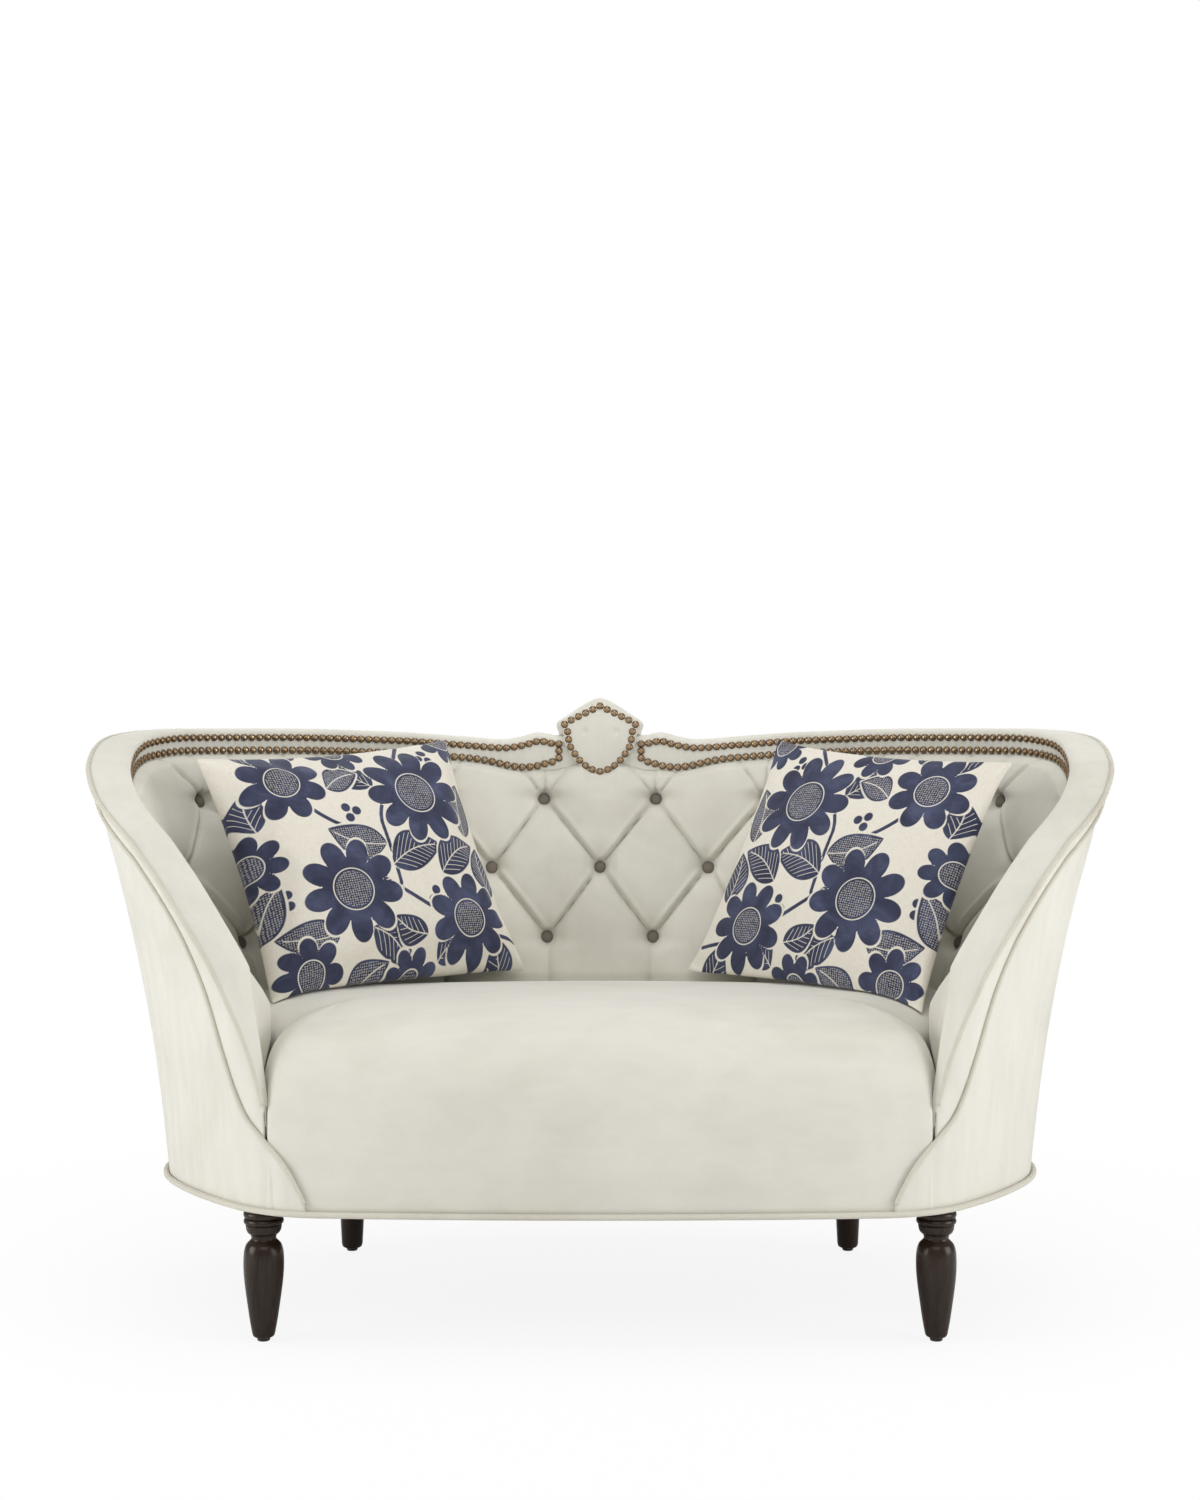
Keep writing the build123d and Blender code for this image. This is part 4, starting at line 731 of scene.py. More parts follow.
def boxing_band():
    d = spaced((0, 0.80, 170), (0.80, RIM_END, 210))[:, None]
    low = panel_top(d)
    high = np.maximum(rim(d) - 0.004 * steep(d), low + 0.004)
    rise = np.linspace(0, 1, 12)[None, :]
    heights = low + (high - low) * rise
    face = spot(d, outer(d, heights) + 0.0016 * np.sin(np.pi * rise), heights)
    back_heights = low + (high - low) * np.linspace(1, 0, 3)[None, :]
    back = spot(d, outer(d, back_heights) - 0.0034, back_heights)
    piece = tube_piece("boxing_band", np.concatenate([face, back], axis=1))
    return finish_piece(piece, cover_velvet, ["boxing_strip"])


boxing_band()


def piping():
    d = spaced((0, 0.24, 130), (0.24, 0.80, 200), (0.80, RIM_END, 320))
    upper = cord_piece("rim_cord", spot(d, rim_outer(d) + 0.0024, rim(d) - 0.0022), PIPING_RADIUS)
    finish_piece(upper, piping_velvet_painted_shade, ["rim_piping"])
    d = spaced((0, 0.24, 130), (0.24, 0.80, 200), (0.80, STRIP_END, 260), (STRIP_END, PANEL_END, 60))
    low = panel_top(d)
    lower = cord_piece("panel_cord", spot(d, outer(d, low) + 0.0022, low), PIPING_RADIUS * 0.92)
    finish_piece(lower, piping_velvet_painted_shade, ["panel_piping"])
    half = np.linspace(0, HALF_LENGTH, 761)
    d = np.concatenate([half[:-1], -half[:0:-1]])
    base = cord_piece("base_welt", spot(d, 0.0050, BASE_HEIGHT + 0.0048), WELT_RADIUS, closed=True)
    finish_piece(base, piping_velvet_painted_shade, ["base_piping"])


piping()


# Tight seat: crowned top and a waterfall front that runs down to the welt.
SEAT_FALL, SEAT_RUN = 0.148, 0.205
SIDE_FALL, SIDE_RUN = 0.056, 0.135
SEAT_GAP = 0.0006
SEAT_CENTRE = np.array([0.0, -0.06])
SEAT_BULGE = 0.0135
SEAT_CROWN = 0.0025
BACK_FLOOR = 0.380
BACK_FLOOR_FALLS = (1.235, 1.272)
FRONT_HALF_WIDTH = 0.395
FRONT_LOW = BASE_HEIGHT + 0.010
FRONT_SHARES = (0, 0.05, 0.12, 0.2, 0.3, 0.42, 0.56, 0.7, 0.85)
TIP_REACH = [(1.280, -0.0105), (1.291, 0.0020), (1.302, 0.0005), (1.33, -0.0030), (1.40, 0.0), (2, 0.0)]
SIDE_SHARE = [
    (0, 1), (1.15, 1), (1.192, 0.98), (1.218, 0.85), (1.268, 0.6), (1.318, 0.3), (1.376, 0), (2, 0),
]
FRONT_SHARE = [
    (0, 0), (1.15, 0), (1.192, 0.16), (1.218, 0.29), (1.268, 0.56), (1.318, 0.87), (1.376, 1), (2, 1),
]


def seat_edge(at):
    """Reach of the seat's edge: along the inside face, then past the arm's tip to the front."""
    wall = seat_wall(np.minimum(at, ARM_TIP)) - SEAT_GAP
    tip = [(ARM_TIP, float(seat_wall(ARM_TIP)) - SEAT_GAP)] + TIP_REACH
    return np.where(at < ARM_TIP, wall, between(tip, at))


def roll_in(up, run, fullness):
    """How far a full, rounded edge has drawn in at a share of its rise."""
    return run * (1 - (1 - up ** fullness) ** (1.04 / fullness))


def seat_levels(d):
    """Rings of the seat from the middle of its underside, up its sides to the middle of its top."""
    at = np.abs(d)
    edge = seat_edge(at)
    side_share, front_share = between(SIDE_SHARE, at), between(FRONT_SHARE, at)
    bow = 1 - np.clip((HALF_LENGTH - at) / FRONT_HALF_WIDTH, 0, 1) ** 2
    floor_at = BACK_FLOOR + (BASE_HEIGHT + 0.001 - BACK_FLOOR) * ease(*BACK_FLOOR_FALLS, at)
    levels = []

    def level(height, front, side, bulge):
        reach = edge - side * side_share - front * front_share + SEAT_BULGE * bulge * bow
        levels.append(spot(d, reach, np.maximum(height, floor_at)))

    def drawn_in(ring, share):
        ring = ring.copy()
        ring[:, :2] = SEAT_CENTRE + (ring[:, :2] - SEAT_CENTRE) * share
        levels.append(ring)

    low = spot(d, edge - 0.030 * front_share, floor_at)
    drawn_in(low, 0.0)
    drawn_in(low, 0.5)
    level(BASE_HEIGHT + 0.001, 0.006, 0.0, 0.0)
    level(BASE_HEIGHT + 0.004, 0.0015, 0.0, 0.0)
    for share in FRONT_SHARES:
        height = FRONT_LOW + (SEAT_HEIGHT - SEAT_FALL - FRONT_LOW) * share
        level(height, 0, 0, float(ease(0, 0.55, share)))
    for up in np.sin(np.linspace(0, math.pi / 2, 44)):
        drop = SEAT_FALL * (1 - up)
        side_up = max(0.0, 1 - drop / SIDE_FALL)
        level(SEAT_HEIGHT - drop, roll_in(up, SEAT_RUN, 2.5), roll_in(side_up, SIDE_RUN, 2.0), 1)
    last = levels[-1]
    for share in np.append(np.linspace(0.92, 0.2, 11), 0.0):
        drawn_in(last, share)
        levels[-1][:, 2] = SEAT_HEIGHT + SEAT_CROWN * (1 - share * share)
    return np.stack(levels)


def softened(points, at):
    """Rings of the seat with the crown carried round the corners without a ridge."""
    count = np.arange(len(points))
    soft = np.clip((count - 14) / 14, 0, 1) * np.clip((len(points) - 12 - count) / 8, 0, 1)
    soft = 0.5 * soft[:, None] * (ease(0.98, 1.15, at) * (1 - ease(1.44, 1.62, at)))[None, :]
    for _ in range(120):
        around = np.roll(points, 1, axis=1) + np.roll(points, -1, axis=1)
        inward = np.concatenate([points[1:], points[-1:]]) + np.concatenate([points[:1], points[:-1]])
        points = points + soft[..., None] * ((around + inward) / 4 - points)
    return points


def seat():
    runs = [np.linspace(0, 1.14, 90, endpoint=False), np.linspace(1.14, 1.40, 100, endpoint=False)]
    half = np.concatenate(runs + [np.linspace(1.40, HALF_LENGTH, 110)])
    d = np.concatenate([half, -half[-2:0:-1]])
    points = softened(seat_levels(d), np.abs(d))
    piece = mesh_piece("seat_pad", points.reshape(-1, 3), ring_faces(*points.shape[:2], False))
    weld(piece, 0.0004)
    return finish_piece(piece, seat_velvet, ["seat_cover", "seat_foam", "front_rail_pad"])


SEAT_PAD = seat()


# Crest: a padded gable on the rim with the shield in front of it.
DIMPLES = (-0.0275, 0.0285)
DIMPLE_HEIGHT = 0.889
DIMPLE_RADIUS = 0.006
DIMPLE_DEPTH = 0.0022
SHIELD_SWELL = 0.0050
SHIELD_FLAT_SHARE = 0.93


def whole(right):
    """Whole outline from its right half."""
    return right + [(-x, z) for x, z in reversed(right) if x]


def rounded(outline, times=3, keep=0.25):
    """Outline with its corners cut softer each time."""
    points = np.array(outline)
    for _ in range(times):
        following = np.roll(points, -1, axis=0)
        step = (following - points) * keep
        points = np.stack([points + step, following - step], axis=1).reshape(-1, 2)
    return points


def disc(name, outline, layers, lift=None):
    """Closed padded form from an outline drawn in step by step; layers are (share of the outline, y)."""
    centre = (outline.max(axis=0) + outline.min(axis=0)) / 2
    rings = []
    for share, y in layers:
        flat = centre + (outline - centre) * share
        depth = np.full(len(flat), y)
        if lift is not None:
            depth = depth + lift(flat, share)
        rings.append(np.stack([flat[:, 0], depth, flat[:, 1]], axis=1))
    return tube_piece(name, np.stack(rings))


def shield_half(inset):
    """Right half of the shield's outline, from the apex down to the tip."""
    half = CREST_HALF_WIDTH - 0.004 - inset
    return [
        (0, CREST_HEIGHT - 0.004 - inset * 1.1),
        (half - 0.006, CREST_HEIGHT - 0.034 - inset * 0.9),
        (half, CREST_HEIGHT - 0.044 - inset * 0.3),
        (half - 0.007, CREST_HEIGHT - 0.062),
        (half - 0.008, CREST_HEIGHT - 0.082),
        (half - 0.026 + inset * 0.3, SHIELD_BOTTOM + 0.028 + inset * 0.5),
        (0.020, SHIELD_BOTTOM + 0.005 + inset),
        (0, SHIELD_BOTTOM + inset),
    ]


def shield_padding(flat, share):
    """Swell of the shield towards its middle, with two small pulls of the cloth."""
    if share >= SHIELD_FLAT_SHARE:
        return np.zeros(len(flat))
    depth = np.full(len(flat), -SHIELD_SWELL * (1 - share ** 2.4))
    for x in DIMPLES:
        away = (flat[:, 0] - x) ** 2 + (flat[:, 1] - DIMPLE_HEIGHT) ** 2
        depth += DIMPLE_DEPTH * np.exp(-away / DIMPLE_RADIUS ** 2)
    return depth


def crest():
    low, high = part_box("crest_cover")
    half, apex = CREST_HALF_WIDTH + 0.001, CREST_HEIGHT + 0.001
    board = [
        (0.004, apex), (0.016, apex - 0.004), (0.036, apex - 0.016), (half - 0.013, apex - 0.035),
        (half - 0.002, apex - 0.041), (half + 0.0015, apex - 0.050), (half - 0.003, apex - 0.059),
        (half - 0.004, low.z - 0.006),
    ]
    back, front = high.y + 0.001, low.y - 0.0005
    layers = [
        (0.02, back), (0.6, back), (0.9, back - 0.0008), (0.965, back - 0.003), (0.99, back - 0.007),
        (1, back - 0.014), (1.004, (back + front) / 2), (1, front + 0.014),
        (0.988, front + 0.006), (0.96, front + 0.002), (0.9, front), (0.02, front),
    ]
    piece = disc("crest_pad", rounded(whole(board)), layers)
    finish_piece(piece, cover_velvet, ["crest_cover"])

    low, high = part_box("crest_shield")
    front, back = low.y + 0.0006, high.y
    layers = [
        (0.02, back), (0.94, back), (0.985, back - 0.001), (1, back - 0.003), (1, front + 0.0026),
        (0.985, front + 0.0010), (0.965, front + 0.0003), (0.935, front),
    ]
    layers += [(share, front) for share in np.linspace(0.9, 0.02, 30)]
    piece = disc("crest_shield_pad", rounded(whole(shield_half(0.0))), layers, shield_padding)
    finish_piece(piece, cover_velvet, ["crest_shield"])


crest()


# Domed nails: two rows round the inside of the rim and the outline of the shield.
NAIL_RADIUS = 0.0066
NAIL_HEIGHT = 0.0042
NAIL_PITCH = 0.0135
NAIL_STEP = 0.0002
NAIL_ROW_START = 0.0725
NAIL_ROW_END = HALF_LENGTH - 0.7306
UPPER_DROP = 0.013
LOWER_DROP = [(NAIL_ROW_START, 0.0382), (0.084, 0.046), (BAND_DIP_AT, 0.057)]
JOINING_DROP = 0.0256
CREST_NAILS = 26
SHIELD_NAIL_INSET = 0.009


def upper_drop(at):
    return UPPER_DROP * steep(at)


def lower_drop(at):
    if abs(at) < BAND_DIP_AT:
        return between(LOWER_DROP, abs(at))
    return band_height(at) - 0.007


def row_places(drop):
    """Distances of a row's nails, a pitch apart along the rim."""
    places, last, at = [], None, NAIL_ROW_START
    while at < NAIL_ROW_END:
        here = spot(at, rim_inner(at) - 0.0004, rim(at) - drop(at))
        if last is None or np.linalg.norm(here - last) >= NAIL_PITCH:
            places.append(at)
            last = here
        at += NAIL_STEP
    return places


def nail_shape():
    """Points and faces of a low dome, and how far each point is from its middle."""
    bpy.ops.mesh.primitive_uv_sphere_add(segments=14, ring_count=12, radius=NAIL_RADIUS)
    shape = bpy.context.object
    open_mesh(shape)
    bpy.ops.mesh.bisect(plane_co=(0, 0, 0), plane_no=(0, 0, 1), use_fill=True, clear_inner=True)
    bpy.ops.object.mode_set(mode="OBJECT")
    points, faces = taken(shape)
    points[:, 2] *= NAIL_HEIGHT / NAIL_RADIUS
    return points, faces, np.clip(np.hypot(points[:, 0], points[:, 1]) / NAIL_RADIUS, 0, 1)


NAIL_POINTS, NAIL_FACES, NAIL_DOME = nail_shape()


def nail_piece(name, places, replaced):
    """Nails at places given as (point, inward normal)."""
    piece = stamped(name, NAIL_POINTS, NAIL_FACES, places)
    dome = piece.data.attributes.new("dome", "FLOAT", "POINT")
    dome.data.foreach_set("value", np.tile(NAIL_DOME, len(places)).astype(np.float32))
    return finish_piece(piece, nail_brass, [replaced])


def nails():
    for word, drop in (("upper", upper_drop), ("lower", lower_drop)):
        marks = [(at, float(rim(at) - drop(at))) for at in row_places(drop)]
        if word == "lower":
            marks.append((NAIL_ROW_START, float(rim(NAIL_ROW_START)) - JOINING_DROP))
        places = []
        for at, height in marks:
            for side in (1, -1):
                place = spot(side * at, rim_inner(at) - 0.0010, height)
                inward = place - spot(side * at, rim_inner(at) + 1, height)
                places.append((place, inward / np.linalg.norm(inward)))
        nail_piece(word + "_nail_row", places, word + "_nails")
    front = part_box("crest_shield")[0].y - 0.0006
    right = shield_half(SHIELD_NAIL_INSET)
    outline = np.array(whole(right) + [right[0]])
    runs = np.concatenate([[0], np.cumsum(np.linalg.norm(np.diff(outline, axis=0), axis=1))])
    along = np.arange(CREST_NAILS) * runs[-1] / CREST_NAILS
    xs, zs = np.interp(along, runs, outline[:, 0]), np.interp(along, runs, outline[:, 1])
    places = [(np.array([x, front, z]), (0, -1, 0)) for x, z in zip(xs, zs)]
    nail_piece("crest_nail_outline", places, "crest_nails")


nails()


# Legs: lathe-turned in front, plain and tapered behind. Profiles are (radius, height, sharp corner).
TURNED_LEG = [
    (0, 0.005, 1), (0.0115, 0.005, 1), (0.0152, 0.0075, 0), (0.0168, 0.0125, 1), (0.0200, 0.030, 0),
    (0.0234, 0.053, 0), (0.0268, 0.078, 0), (0.0288, 0.098, 0), (0.0293, 0.115, 0), (0.0284, 0.130, 0),
    (0.0256, 0.1395, 0), (0.0214, 0.1445, 0), (0.0186, 0.1475, 0), (0.0180, 0.1505, 0),
    (0.0192, 0.1545, 1), (0.0226, 0.1570, 0), (0.0252, 0.1615, 0), (0.0261, 0.1680, 1),
    (0.0252, 0.1690, 1), (0.0280, 0.1712, 0), (0.0291, 0.1742, 0), (0.0280, 0.1772, 0),
    (0.0262, 0.1785, 1), (0.0284, 0.1805, 0), (0.0294, 0.1840, 0), (0.0286, 0.1870, 0),
    (0.0266, 0.1890, 1), (0, 0.1890, 1),
]
PLAIN_LEG = [
    (0, 0.005, 1), (0.0125, 0.005, 1), (0.0162, 0.0075, 0), (0.0178, 0.0125, 1), (0.0222, 0.100, 0),
    (0.0265, 0.189, 1), (0, 0.189, 1),
]


def smooth_profile(knots, each=7):
    """Smooth curve through each run of knots; a run ends at a sharp corner."""
    runs, run = [], []
    for radius, height, sharp in knots:
        run.append((radius, height))
        if sharp and len(run) > 1:
            runs.append(run)
            run = [(radius, height)]
    points = []
    for run in runs:
        ends = np.array([run[0]] + run + [run[-1]])
        for p0, p1, p2, p3 in zip(ends, ends[1:], ends[2:], ends[3:]):
            for t in np.linspace(0, 1, each, endpoint=False):
                bend = (2 * p0 - 5 * p1 + 4 * p2 - p3) * t ** 2
                swing = (3 * p1 - p0 - 3 * p2 + p3) * t ** 3
                points.append(0.5 * (2 * p1 + (p2 - p0) * t + bend + swing))
    points.append(np.array(runs[-1][-1]))
    return [(max(float(radius), 0.0), float(height)) for radius, height in points]


def lathe_leg(name, profile, centre, replaced):
    """Spins a half profile of (radius, height) round the leg's middle."""
    mesh = bpy.data.meshes.new(name)
    piece = bpy.data.objects.new(name, mesh)
    bpy.context.scene.collection.objects.link(piece)
    mesh.from_pydata([(r, 0, z) for r, z in profile], [(k, k + 1) for k in range(len(profile) - 1)], [])
    open_mesh(piece)
    bpy.ops.mesh.spin(steps=56, angle=2 * math.pi, center=(0, 0, 0), axis=(0, 0, 1))
    bpy.ops.object.mode_set(mode="OBJECT")
    weld(piece, 0.00005)
    bpy.ops.object.shade_smooth_by_angle(angle=math.radians(40))
    for vertex in mesh.vertices:
        vertex.co.x += centre[0]
        vertex.co.y += centre[1]
    return finish_piece(piece, leg_wood, [replaced])


def legs():
    for word in ("left", "right"):
        for place, make, knots in (("front", "turned", TURNED_LEG), ("rear", "plain", PLAIN_LEG)):
            node = place + "_leg_" + word
            low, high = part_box(node)
            name = "_".join([place, "leg", make, word])
            lathe_leg(name, smooth_profile(knots), (low + high) / 2, node)


legs()
bpy.context.view_layer.update()


# Throw pillows: filled covers with a sewn edge and a stitched flower print.
PILLOW_WIDTH = 0.505
PILLOW_HEIGHT = 0.464
PILLOW_DEPTH = 0.150
PILLOW_LEAN = math.radians(27)
PILLOW_ROLL = math.radians(4.5)
PILLOW_GRID = 52
SEAM_THICKNESS = 0.020
SIDE_PULL = 0.055
FOLD_HEIGHT = 0.0032
FOLD_REACH = 0.16
SWELL_CAP = 0.014
SWELL_FRAMES = 20
BACK_CLEARANCE = 0.0015
SEAT_CLEARANCE = 0.0008
SEAT_PRESS = 0.012
RAY_START = 0.30
ABOVE_ALL = 1.2

# The print in millimetres from the pillow's middle: stems by their points, flowers by place, size,
# petals and turn, leaves by stalk end, angle, length and half width, berries by place.
STEMS = [
    ((-165, -235), (-120, -120), (10, -60), (10, 40), (60, 130), (150, 232)),
    ((-20, -50), (60, -110), (120, -150), (225, -175)),
    ((-5, 20), (-80, 60), (-120, 110), (-150, 235)),
    ((40, 95), (120, 60), (170, 40), (235, 60)),
]
FLOWERS = [
    ((-78, -62), 87, 9, 0.2), ((98, 96), 94, 10, 0.0), ((-136, 142), 73, 8, 0.5),
    ((128, -132), 77, 9, 0.1), ((-176, -184), 58, 8, 0.0), ((-6, 206), 54, 8, 0.6),
    ((214, 208), 51, 8, 0.3), ((-220, 12), 54, 8, 0.2), ((10, -214), 51, 8, 0.4),
]
LEAVES = [
    ((-118, -128), 3.0, 99, 32), ((-60, -128), -0.75, 94, 30), ((6, -30), 0.25, 108, 35),
    ((4, 6), 2.75, 103, 33), ((96, -52), 0.5, 108, 32), ((196, -96), 1.5, 94, 29),
    ((182, 16), 1.3, 108, 30), ((18, 112), 2.2, 78, 28), ((-196, 66), 1.6, 74, 26),
    ((-66, 118), 0.35, 72, 25), ((-96, 190), 1.2, 65, 23), ((60, -190), 0.55, 65, 25),
    ((-110, -232), 0.6, 94, 28), ((204, -232), 2.0, 74, 26), ((86, 208), 1.2, 56, 22),
    ((-230, -112), 1.1, 94, 29), ((-190, 226), -0.9, 67, 22), ((40, -150), 2.6, 69, 23),
]
BERRIES = [(-40, 70), (196, -30), (-190, -58), (-72, 222), (72, -92), (150, 168), (-14, -140)]
PRINT_GAP = 3.2
STEM_RADIUS = 3.4
BERRY_RADIUS = 8.0
BERRY_SPREAD = 11
STITCH_INSET = 3.2
NO_LINE = 9.0


def leaf(x, y, at, angle, length, width):
    """Signed distance to an almond leaf from its stalk end, place across its midrib and run of its veins."""
    c, s = math.cos(angle), math.sin(angle)
    along = (x - at[0]) * c + (y - at[1]) * s
    across = -(x - at[0]) * s + (y - at[1]) * c
    t = np.clip(along / length, 0, 1)
    across = across - 0.10 * length * np.sin(np.pi * t)
    half = width * np.sin(np.pi * t ** 0.8) ** 0.9
    beyond = np.maximum(-along, along - length)
    edge = np.where(beyond > 0, np.hypot(across, beyond), (np.abs(across) - half) * 0.85)
    rib = np.where(along < 0.9 * length, across, np.where(across < 0, -NO_LINE, NO_LINE))
    return edge, rib, along - 1.1 * np.abs(across)


def daisy(x, y, at, size, petals, turn):
    """Signed distance to an open flower, to the light ring round its eye, and to its eye."""
    r = np.hypot(x - at[0], y - at[1])
    angle = np.arctan2(y - at[1], x - at[0]) + turn
    lobe = np.abs(np.cos(petals * angle / 2))
    edge = (r - size * (0.50 + 0.50 * lobe ** 0.5)) * 0.75
    return edge, r - size * 0.40, r - size * 0.35


def stem(x, y, knots):
    """Signed distance to a stem through the knots."""
    places = np.linspace(0, len(knots) - 1, 160)
    xs, ys = [between([(k, p[axis]) for k, p in enumerate(knots)], places) for axis in (0, 1)]
    near = np.full(x.shape, 99.0)
    for sx, sy in zip(xs, ys):
        near = np.minimum(near, np.hypot(x - sx, y - sy))
    return near - STEM_RADIUS


def print_fields(x, y):
    """Fields of the print: edge of the dark cloth, light lines, leaf veins and stitched grounds."""
    edge = np.full(x.shape, 20.0)
    line = np.full(x.shape, NO_LINE)
    vein = np.zeros(x.shape)
    stitched = np.full(x.shape, NO_LINE)

    def lay(one, light=NO_LINE, run=0.0, ground=NO_LINE, gap=None):
        nonlocal edge, line, vein, stitched
        if gap is not None:
            edge = np.maximum(edge, gap - one)
        over = one < edge
        edge = np.where(over, one, edge)
        line = np.where(over, light, line)
        vein = np.where(over, run, vein)
        stitched = np.where(over, ground, stitched)

    for knots in STEMS:
        lay(stem(x, y, knots))
    for bx, by in BERRIES:
        for k in range(3):
            turn = 2.1 * k + bx * 0.05
            middle = bx + BERRY_SPREAD * math.cos(turn), by + BERRY_SPREAD * math.sin(turn)
            lay(np.hypot(x - middle[0], y - middle[1]) - BERRY_RADIUS)
    # Every third leaf is stitched all over, the others have veins.
    for number, (at, angle, length, width) in enumerate(LEAVES):
        one, rib, run = leaf(x, y, at, angle, length, width)
        if number % 3:
            lay(one, rib, run, gap=PRINT_GAP)
        else:
            lay(one, rib, ground=one + STITCH_INSET, gap=PRINT_GAP)
    for at, size, petals, turn in FLOWERS:
        one, ring, eye = daisy(x, y, at, size, petals, turn)
        lay(one, ring, ground=eye, gap=PRINT_GAP)
    return {"print_edge": edge, "print_line": line, "print_vein": vein, "print_stitch": stitched}


def pillow_cloth():
    """Ivory linen with dark blue pile flowers, light veins and dotted stitching."""
    finish = Finish("pillow_cloth")
    cut = finish.node("UVMap")
    cut.uv_map = "cut"
    finish.place = cut.outputs["UV"]
    slubs = finish.noise(11, 3, 0.6, finish.moved((3, 46, 1)))
    threads = finish.noise(11, 3, 0.6, finish.moved((46, 3, 1)))
    weave = finish.math("ADD", finish.math("MULTIPLY", slubs, 0.5), finish.math("MULTIPLY", threads, 0.5))
    ivory = [(0.30, (0.62, 0.575, 0.490)), (0.50, (0.745, 0.705, 0.615)), (0.70, (0.80, 0.765, 0.685))]
    ground = finish.ramp(weave, ivory)
    navy = [(0.30, (0.029, 0.032, 0.060)), (0.52, (0.046, 0.052, 0.096)), (0.74, (0.082, 0.094, 0.168))]
    blue = finish.ramp(finish.noise(9, 4, 0.62, bend=0.6), navy)
    edge = finish.attribute("print_edge")
    inside = finish.span(edge, 0.6, -0.6)
    line = finish.span(finish.math("ABSOLUTE", finish.attribute("print_line")), 1.35, 0.75)
    run = finish.math("FRACT", finish.math("DIVIDE", finish.attribute("print_vein"), 11.0))
    beside = finish.math("ABSOLUTE", finish.math("SUBTRACT", run, 0.5))
    vein = finish.math("MULTIPLY", finish.span(beside, 0.085, 0.045), finish.span(edge, -3.2, -4.2))
    dots = finish.node("TexVoronoi", Vector=finish.place, Scale=118, Randomness=0.25)
    dotted = finish.span(dots.outputs["Distance"], 0.42, 0.30)
    area = finish.span(finish.attribute("print_stitch"), 0.6, -0.6)
    stitches = finish.math("MULTIPLY", finish.math("MULTIPLY", area, dotted), 0.52)
    light = finish.math("MAXIMUM", finish.math("MAXIMUM", line, vein), stitches)
    pile = finish.math("SUBTRACT", 1.0, finish.math("MULTIPLY", light, 0.88))
    dark = finish.math("MULTIPLY", inside, pile)
    return finish.surface(
        finish.mix(dark, ground, blue),
        finish.span(dark, 0, 1, 0.93, 0.74),
        finish.bump(dark, 0.45, 0.0012, finish.bump(weave, 0.30, 0.0012)),
        Sheen_Weight=0.22, Sheen_Roughness=0.4, Specular_IOR_Level=0.16,
    )


PILLOW_CLOTH = pillow_cloth()
SETTLED = bpy.context.evaluated_depsgraph_get()
SEAT_TREE = BVHTree.FromObject(SEAT_PAD, SETTLED)
BACK_TREE = BVHTree.FromObject(TUFTED_BACK, SETTLED)


def pillow_axes(side, yaw):
    """Unit directions along the pillow, up its face and out of its face; the outer side hangs lower."""
    flat = math.cos(PILLOW_LEAN)
    normal = np.array([-side * math.sin(yaw) * flat, -math.cos(yaw) * flat, math.sin(PILLOW_LEAN)])
    level = np.array([math.cos(yaw), -side * math.sin(yaw), 0])
    rise = np.cross(normal, level)
    along = level * math.cos(PILLOW_ROLL) - side * rise * math.sin(PILLOW_ROLL)
    return along, np.cross(normal, along), normal


def sewn_cover(name, side, centre, axes):
    """Front and back of a cover that share their edge points, with the flat cut kept as its UV."""
    along, up, normal = axes
    size = PILLOW_GRID + 1
    even = np.linspace(-1, 1, size)
    steps = np.sin(even * math.pi / 2) * 0.35 + even * 0.65
    u, v = np.meshgrid(steps, steps, indexing="ij")
    pull_u = 1 - SIDE_PULL * (1 - v * v) ** 1.2
    pull_v = 1 - SIDE_PULL * (1 - u * u) ** 1.2
    swollen = ((1 - u ** 2).clip(0) * (1 - v ** 2).clip(0)) ** 0.46
    # Short folds run in from the seam, most of all near the corners.
    rim_u, rim_v = [np.exp(-(1 - np.abs(w)) / FOLD_REACH) for w in (u, v)]
    folds = rim_u * np.sin(v * 23 + 1.3 * side) * np.abs(v) + rim_v * np.sin(u * 21 + 0.7) * np.abs(u)
    folds = FOLD_HEIGHT * folds * (1 - np.maximum(np.abs(u), np.abs(v)) ** 12)
    thick = (PILLOW_DEPTH - SEAM_THICKNESS) / 2 * swollen + folds * (0.4 + 0.6 * swollen)
    flat = (PILLOW_WIDTH / 2 * u * pull_u)[..., None] * along
    flat = centre + flat + (PILLOW_HEIGHT / 2 * v * pull_v)[..., None] * up
    points = np.concatenate([(flat + sign * thick[..., None] * normal).reshape(-1, 3) for sign in (1, -1)])

    index = np.arange(size * size).reshape(size, size)
    border = np.concatenate([index[0], index[-1], index[:, 0], index[:, -1]])
    behind = index.ravel() + size * size
    behind[border] = border
    faces = []
    for i in range(PILLOW_GRID):
        for j in range(PILLOW_GRID):
            quad = [index[i, j], index[i + 1, j], index[i + 1, j + 1], index[i, j + 1]]
            faces += [quad, [behind[k] for k in reversed(quad)]]
    used, faces = np.unique(faces, return_inverse=True)
    piece = mesh_piece(name, points[used], faces.reshape(-1, 4))
    cut = np.stack([u, v], axis=-1).reshape(-1, 2)[used % (size * size)]
    corners = np.array([loop.vertex_index for loop in piece.data.loops])
    piece.data.uv_layers.new(name="cut").data.foreach_set("uv", ((cut[corners] + 1) / 2).ravel())
    return piece


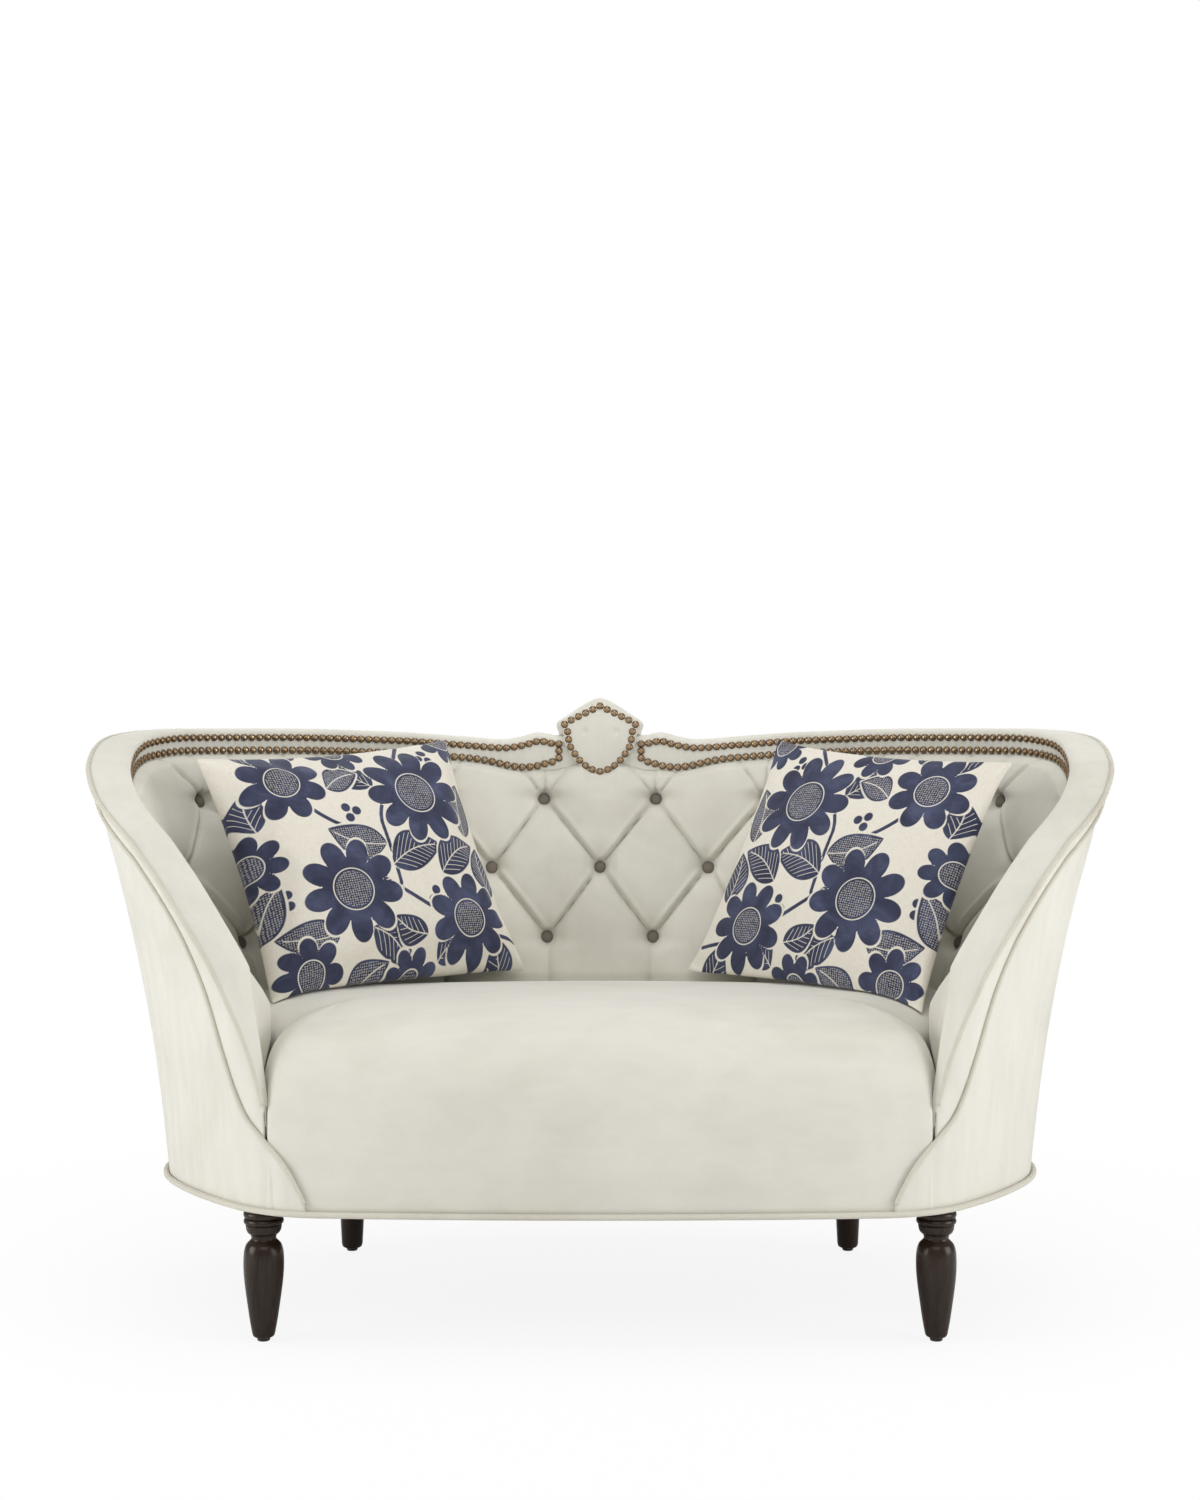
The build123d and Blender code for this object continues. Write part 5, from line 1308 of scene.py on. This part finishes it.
def swell(piece):
    """Fills a sewn cover with air for some frames and keeps each point within the cap."""
    before = np.array([v.co for v in piece.data.vertices])
    pick(piece)
    fill = piece.modifiers.new("fill", "CLOTH")
    cloth = {
        "quality": 6, "mass": 0.25, "tension_stiffness": 18, "compression_stiffness": 12,
        "shear_stiffness": 6, "bending_stiffness": 0.4, "use_pressure": True, "uniform_pressure_force": 4,
    }
    for key, value in cloth.items():
        setattr(fill.settings, key, value)
    fill.settings.effector_weights.gravity = 0
    fill.collision_settings.use_collision = False
    fill.point_cache.frame_start = 1
    fill.point_cache.frame_end = SWELL_FRAMES
    for step in range(1, SWELL_FRAMES + 1):
        bpy.context.scene.frame_set(step)
    bpy.ops.object.modifier_apply(modifier=fill.name)
    bpy.context.scene.frame_set(1)
    move = np.array([v.co for v in piece.data.vertices]) - before
    length = np.linalg.norm(move, axis=1)
    share = np.minimum(1, SWELL_CAP / np.maximum(length, 1e-6))
    piece.data.vertices.foreach_set("co", (before + move * share[:, None]).ravel())
    piece.data.update()


def settle(piece, normal):
    """Presses the pillow flat where it leans on the back and rests on the seat."""
    ahead, down = Vector(normal), Vector((0, 0, -1))
    soft = SEAT_PRESS - SEAT_CLEARANCE
    for vertex in piece.data.vertices:
        hit = BACK_TREE.ray_cast(vertex.co + ahead * RAY_START, -ahead, 2 * RAY_START)
        if hit[0] is not None:
            vertex.co += ahead * max(0.0, RAY_START + BACK_CLEARANCE - hit[3])
        hit = SEAT_TREE.ray_cast(Vector((vertex.co.x, vertex.co.y, ABOVE_ALL)), down)
        if hit[0] is not None:
            above = vertex.co.z - hit[0].z
            if above < SEAT_PRESS:
                vertex.co.z = hit[0].z + SEAT_CLEARANCE + soft * math.exp((above - SEAT_PRESS) / soft)


def pillow(side, word, yaw, shift):
    """Square pillow in the corner of the settee, shifted from the middle of its solid."""
    low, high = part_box("pillow_cover_" + word)
    centre = np.array((low + high) / 2) + np.array(shift)
    axes = pillow_axes(side, yaw)
    along, up, normal = axes
    piece = sewn_cover("throw_pillow_" + word, side, centre, axes)
    swell(piece)
    settle(piece, normal)
    pick(piece)
    finer = piece.modifiers.new("finer", "SUBSURF")
    finer.levels = finer.render_levels = 2
    bpy.ops.object.modifier_apply(modifier=finer.name)
    place = (np.array([v.co for v in piece.data.vertices]) - centre) * 1000
    for name, field in print_fields(-side * (place @ along), place @ up).items():
        limit = 300 if name == "print_vein" else NO_LINE
        store = piece.data.attributes.new(name, "FLOAT", "POINT")
        store.data.foreach_set("value", np.clip(field, -limit, limit).astype(np.float32))
    replaced = ["pillow_cover_" + word, "pillow_insert_" + word]
    return finish_piece(piece, PILLOW_CLOTH, replaced, "pillow_" + word)


pillow(-1, "left", math.radians(36), (-0.004, 0.013, -0.018))
pillow(1, "right", math.radians(43), (0.014, -0.026, -0.020))


# Studio: pale floor, soft lamps round the settee, camera in front.
def studio_floor():
    bpy.ops.mesh.primitive_plane_add(size=60, location=(0, 0, 0))
    floor = bpy.context.object
    floor.name = "studio_floor"
    finish = Finish("studio_floor")
    finish.surface((0.96, 0.96, 0.96), 0.9, Specular_IOR_Level=0.0)
    away = finish.node("VectorMath")
    away.operation = "LENGTH"
    finish.put(finish.place, away.inputs[0])
    whiter = finish.span(away.outputs["Value"], 0.8, 1.7, 0.88, 1.0)
    seen = finish.math("MULTIPLY", whiter, finish.node("LightPath").outputs["Is Camera Ray"])
    white = finish.node("Emission", Color=WHITE)
    mixed = finish.node("MixShader", Fac=seen)
    finish.put(finish.shader.outputs["BSDF"], mixed.inputs[1])
    finish.put(white.outputs["Emission"], mixed.inputs[2])
    finish.put(mixed.outputs["Shader"], finish.nodes["Material Output"].inputs["Surface"])
    floor.data.materials.append(finish.material)


def studio_world():
    world = bpy.data.worlds.new("studio")
    bpy.context.scene.world = world
    world.use_nodes = True
    graph = Graph(world.node_tree)
    path = graph.node("LightPath")
    either = graph.math("MAXIMUM", path.outputs["Is Camera Ray"], path.outputs["Is Transmission Ray"])
    background = graph.nodes["Background"]
    graph.put(graph.span(either, 0, 1, 0.34, 1.0), background.inputs["Strength"])
    graph.put(WHITE, background.inputs["Color"])


def placed(name, data, place):
    holder = bpy.data.objects.new(name, data)
    bpy.context.scene.collection.objects.link(holder)
    holder.location = place
    return holder


def softbox(name, place, aim, size, power):
    lamp = bpy.data.lights.new(name, "AREA")
    lamp.shape = "RECTANGLE"
    lamp.size, lamp.size_y = size
    lamp.energy = power
    holder = placed(name, lamp, place)
    toward = np.array(aim, float) - np.array(place, float)
    tilt = math.acos(-toward[2] / np.linalg.norm(toward))
    holder.rotation_euler = (tilt, 0, math.atan2(toward[1], toward[0]) - math.pi / 2)


def studio():
    bpy.context.scene.view_settings.view_transform = "Standard"
    studio_floor()
    studio_world()
    softbox("lamp_left", (-3.2, -1.3, 1.15), (-0.5, 0, 0.5), (1.8, 1.8), 50)
    softbox("lamp_right", (3.2, -1.3, 1.15), (0.5, 0, 0.5), (1.8, 1.8), 50)
    softbox("lamp_front", (0, -3.0, 2.6), (0, 0, 0.5), (2.6, 1.2), 23)
    softbox("lamp_behind", (0, 3.4, 1.9), (0, 0.4, 0.5), (2.6, 1.4), 30)
    softbox("lamp_above", (0, 0.0, 3.0), (0, 0, 0.4), (2.4, 1.6), 30)
    camera = bpy.data.cameras.new("camera")
    camera.lens, camera.sensor_width = 51.67, 36
    holder = placed("camera", camera, (0, -3.4746, 0.857))
    holder.rotation_euler = (math.pi / 2, 0, 0)
    bpy.context.scene.camera = holder


studio()
bpy.context.view_layer.update()
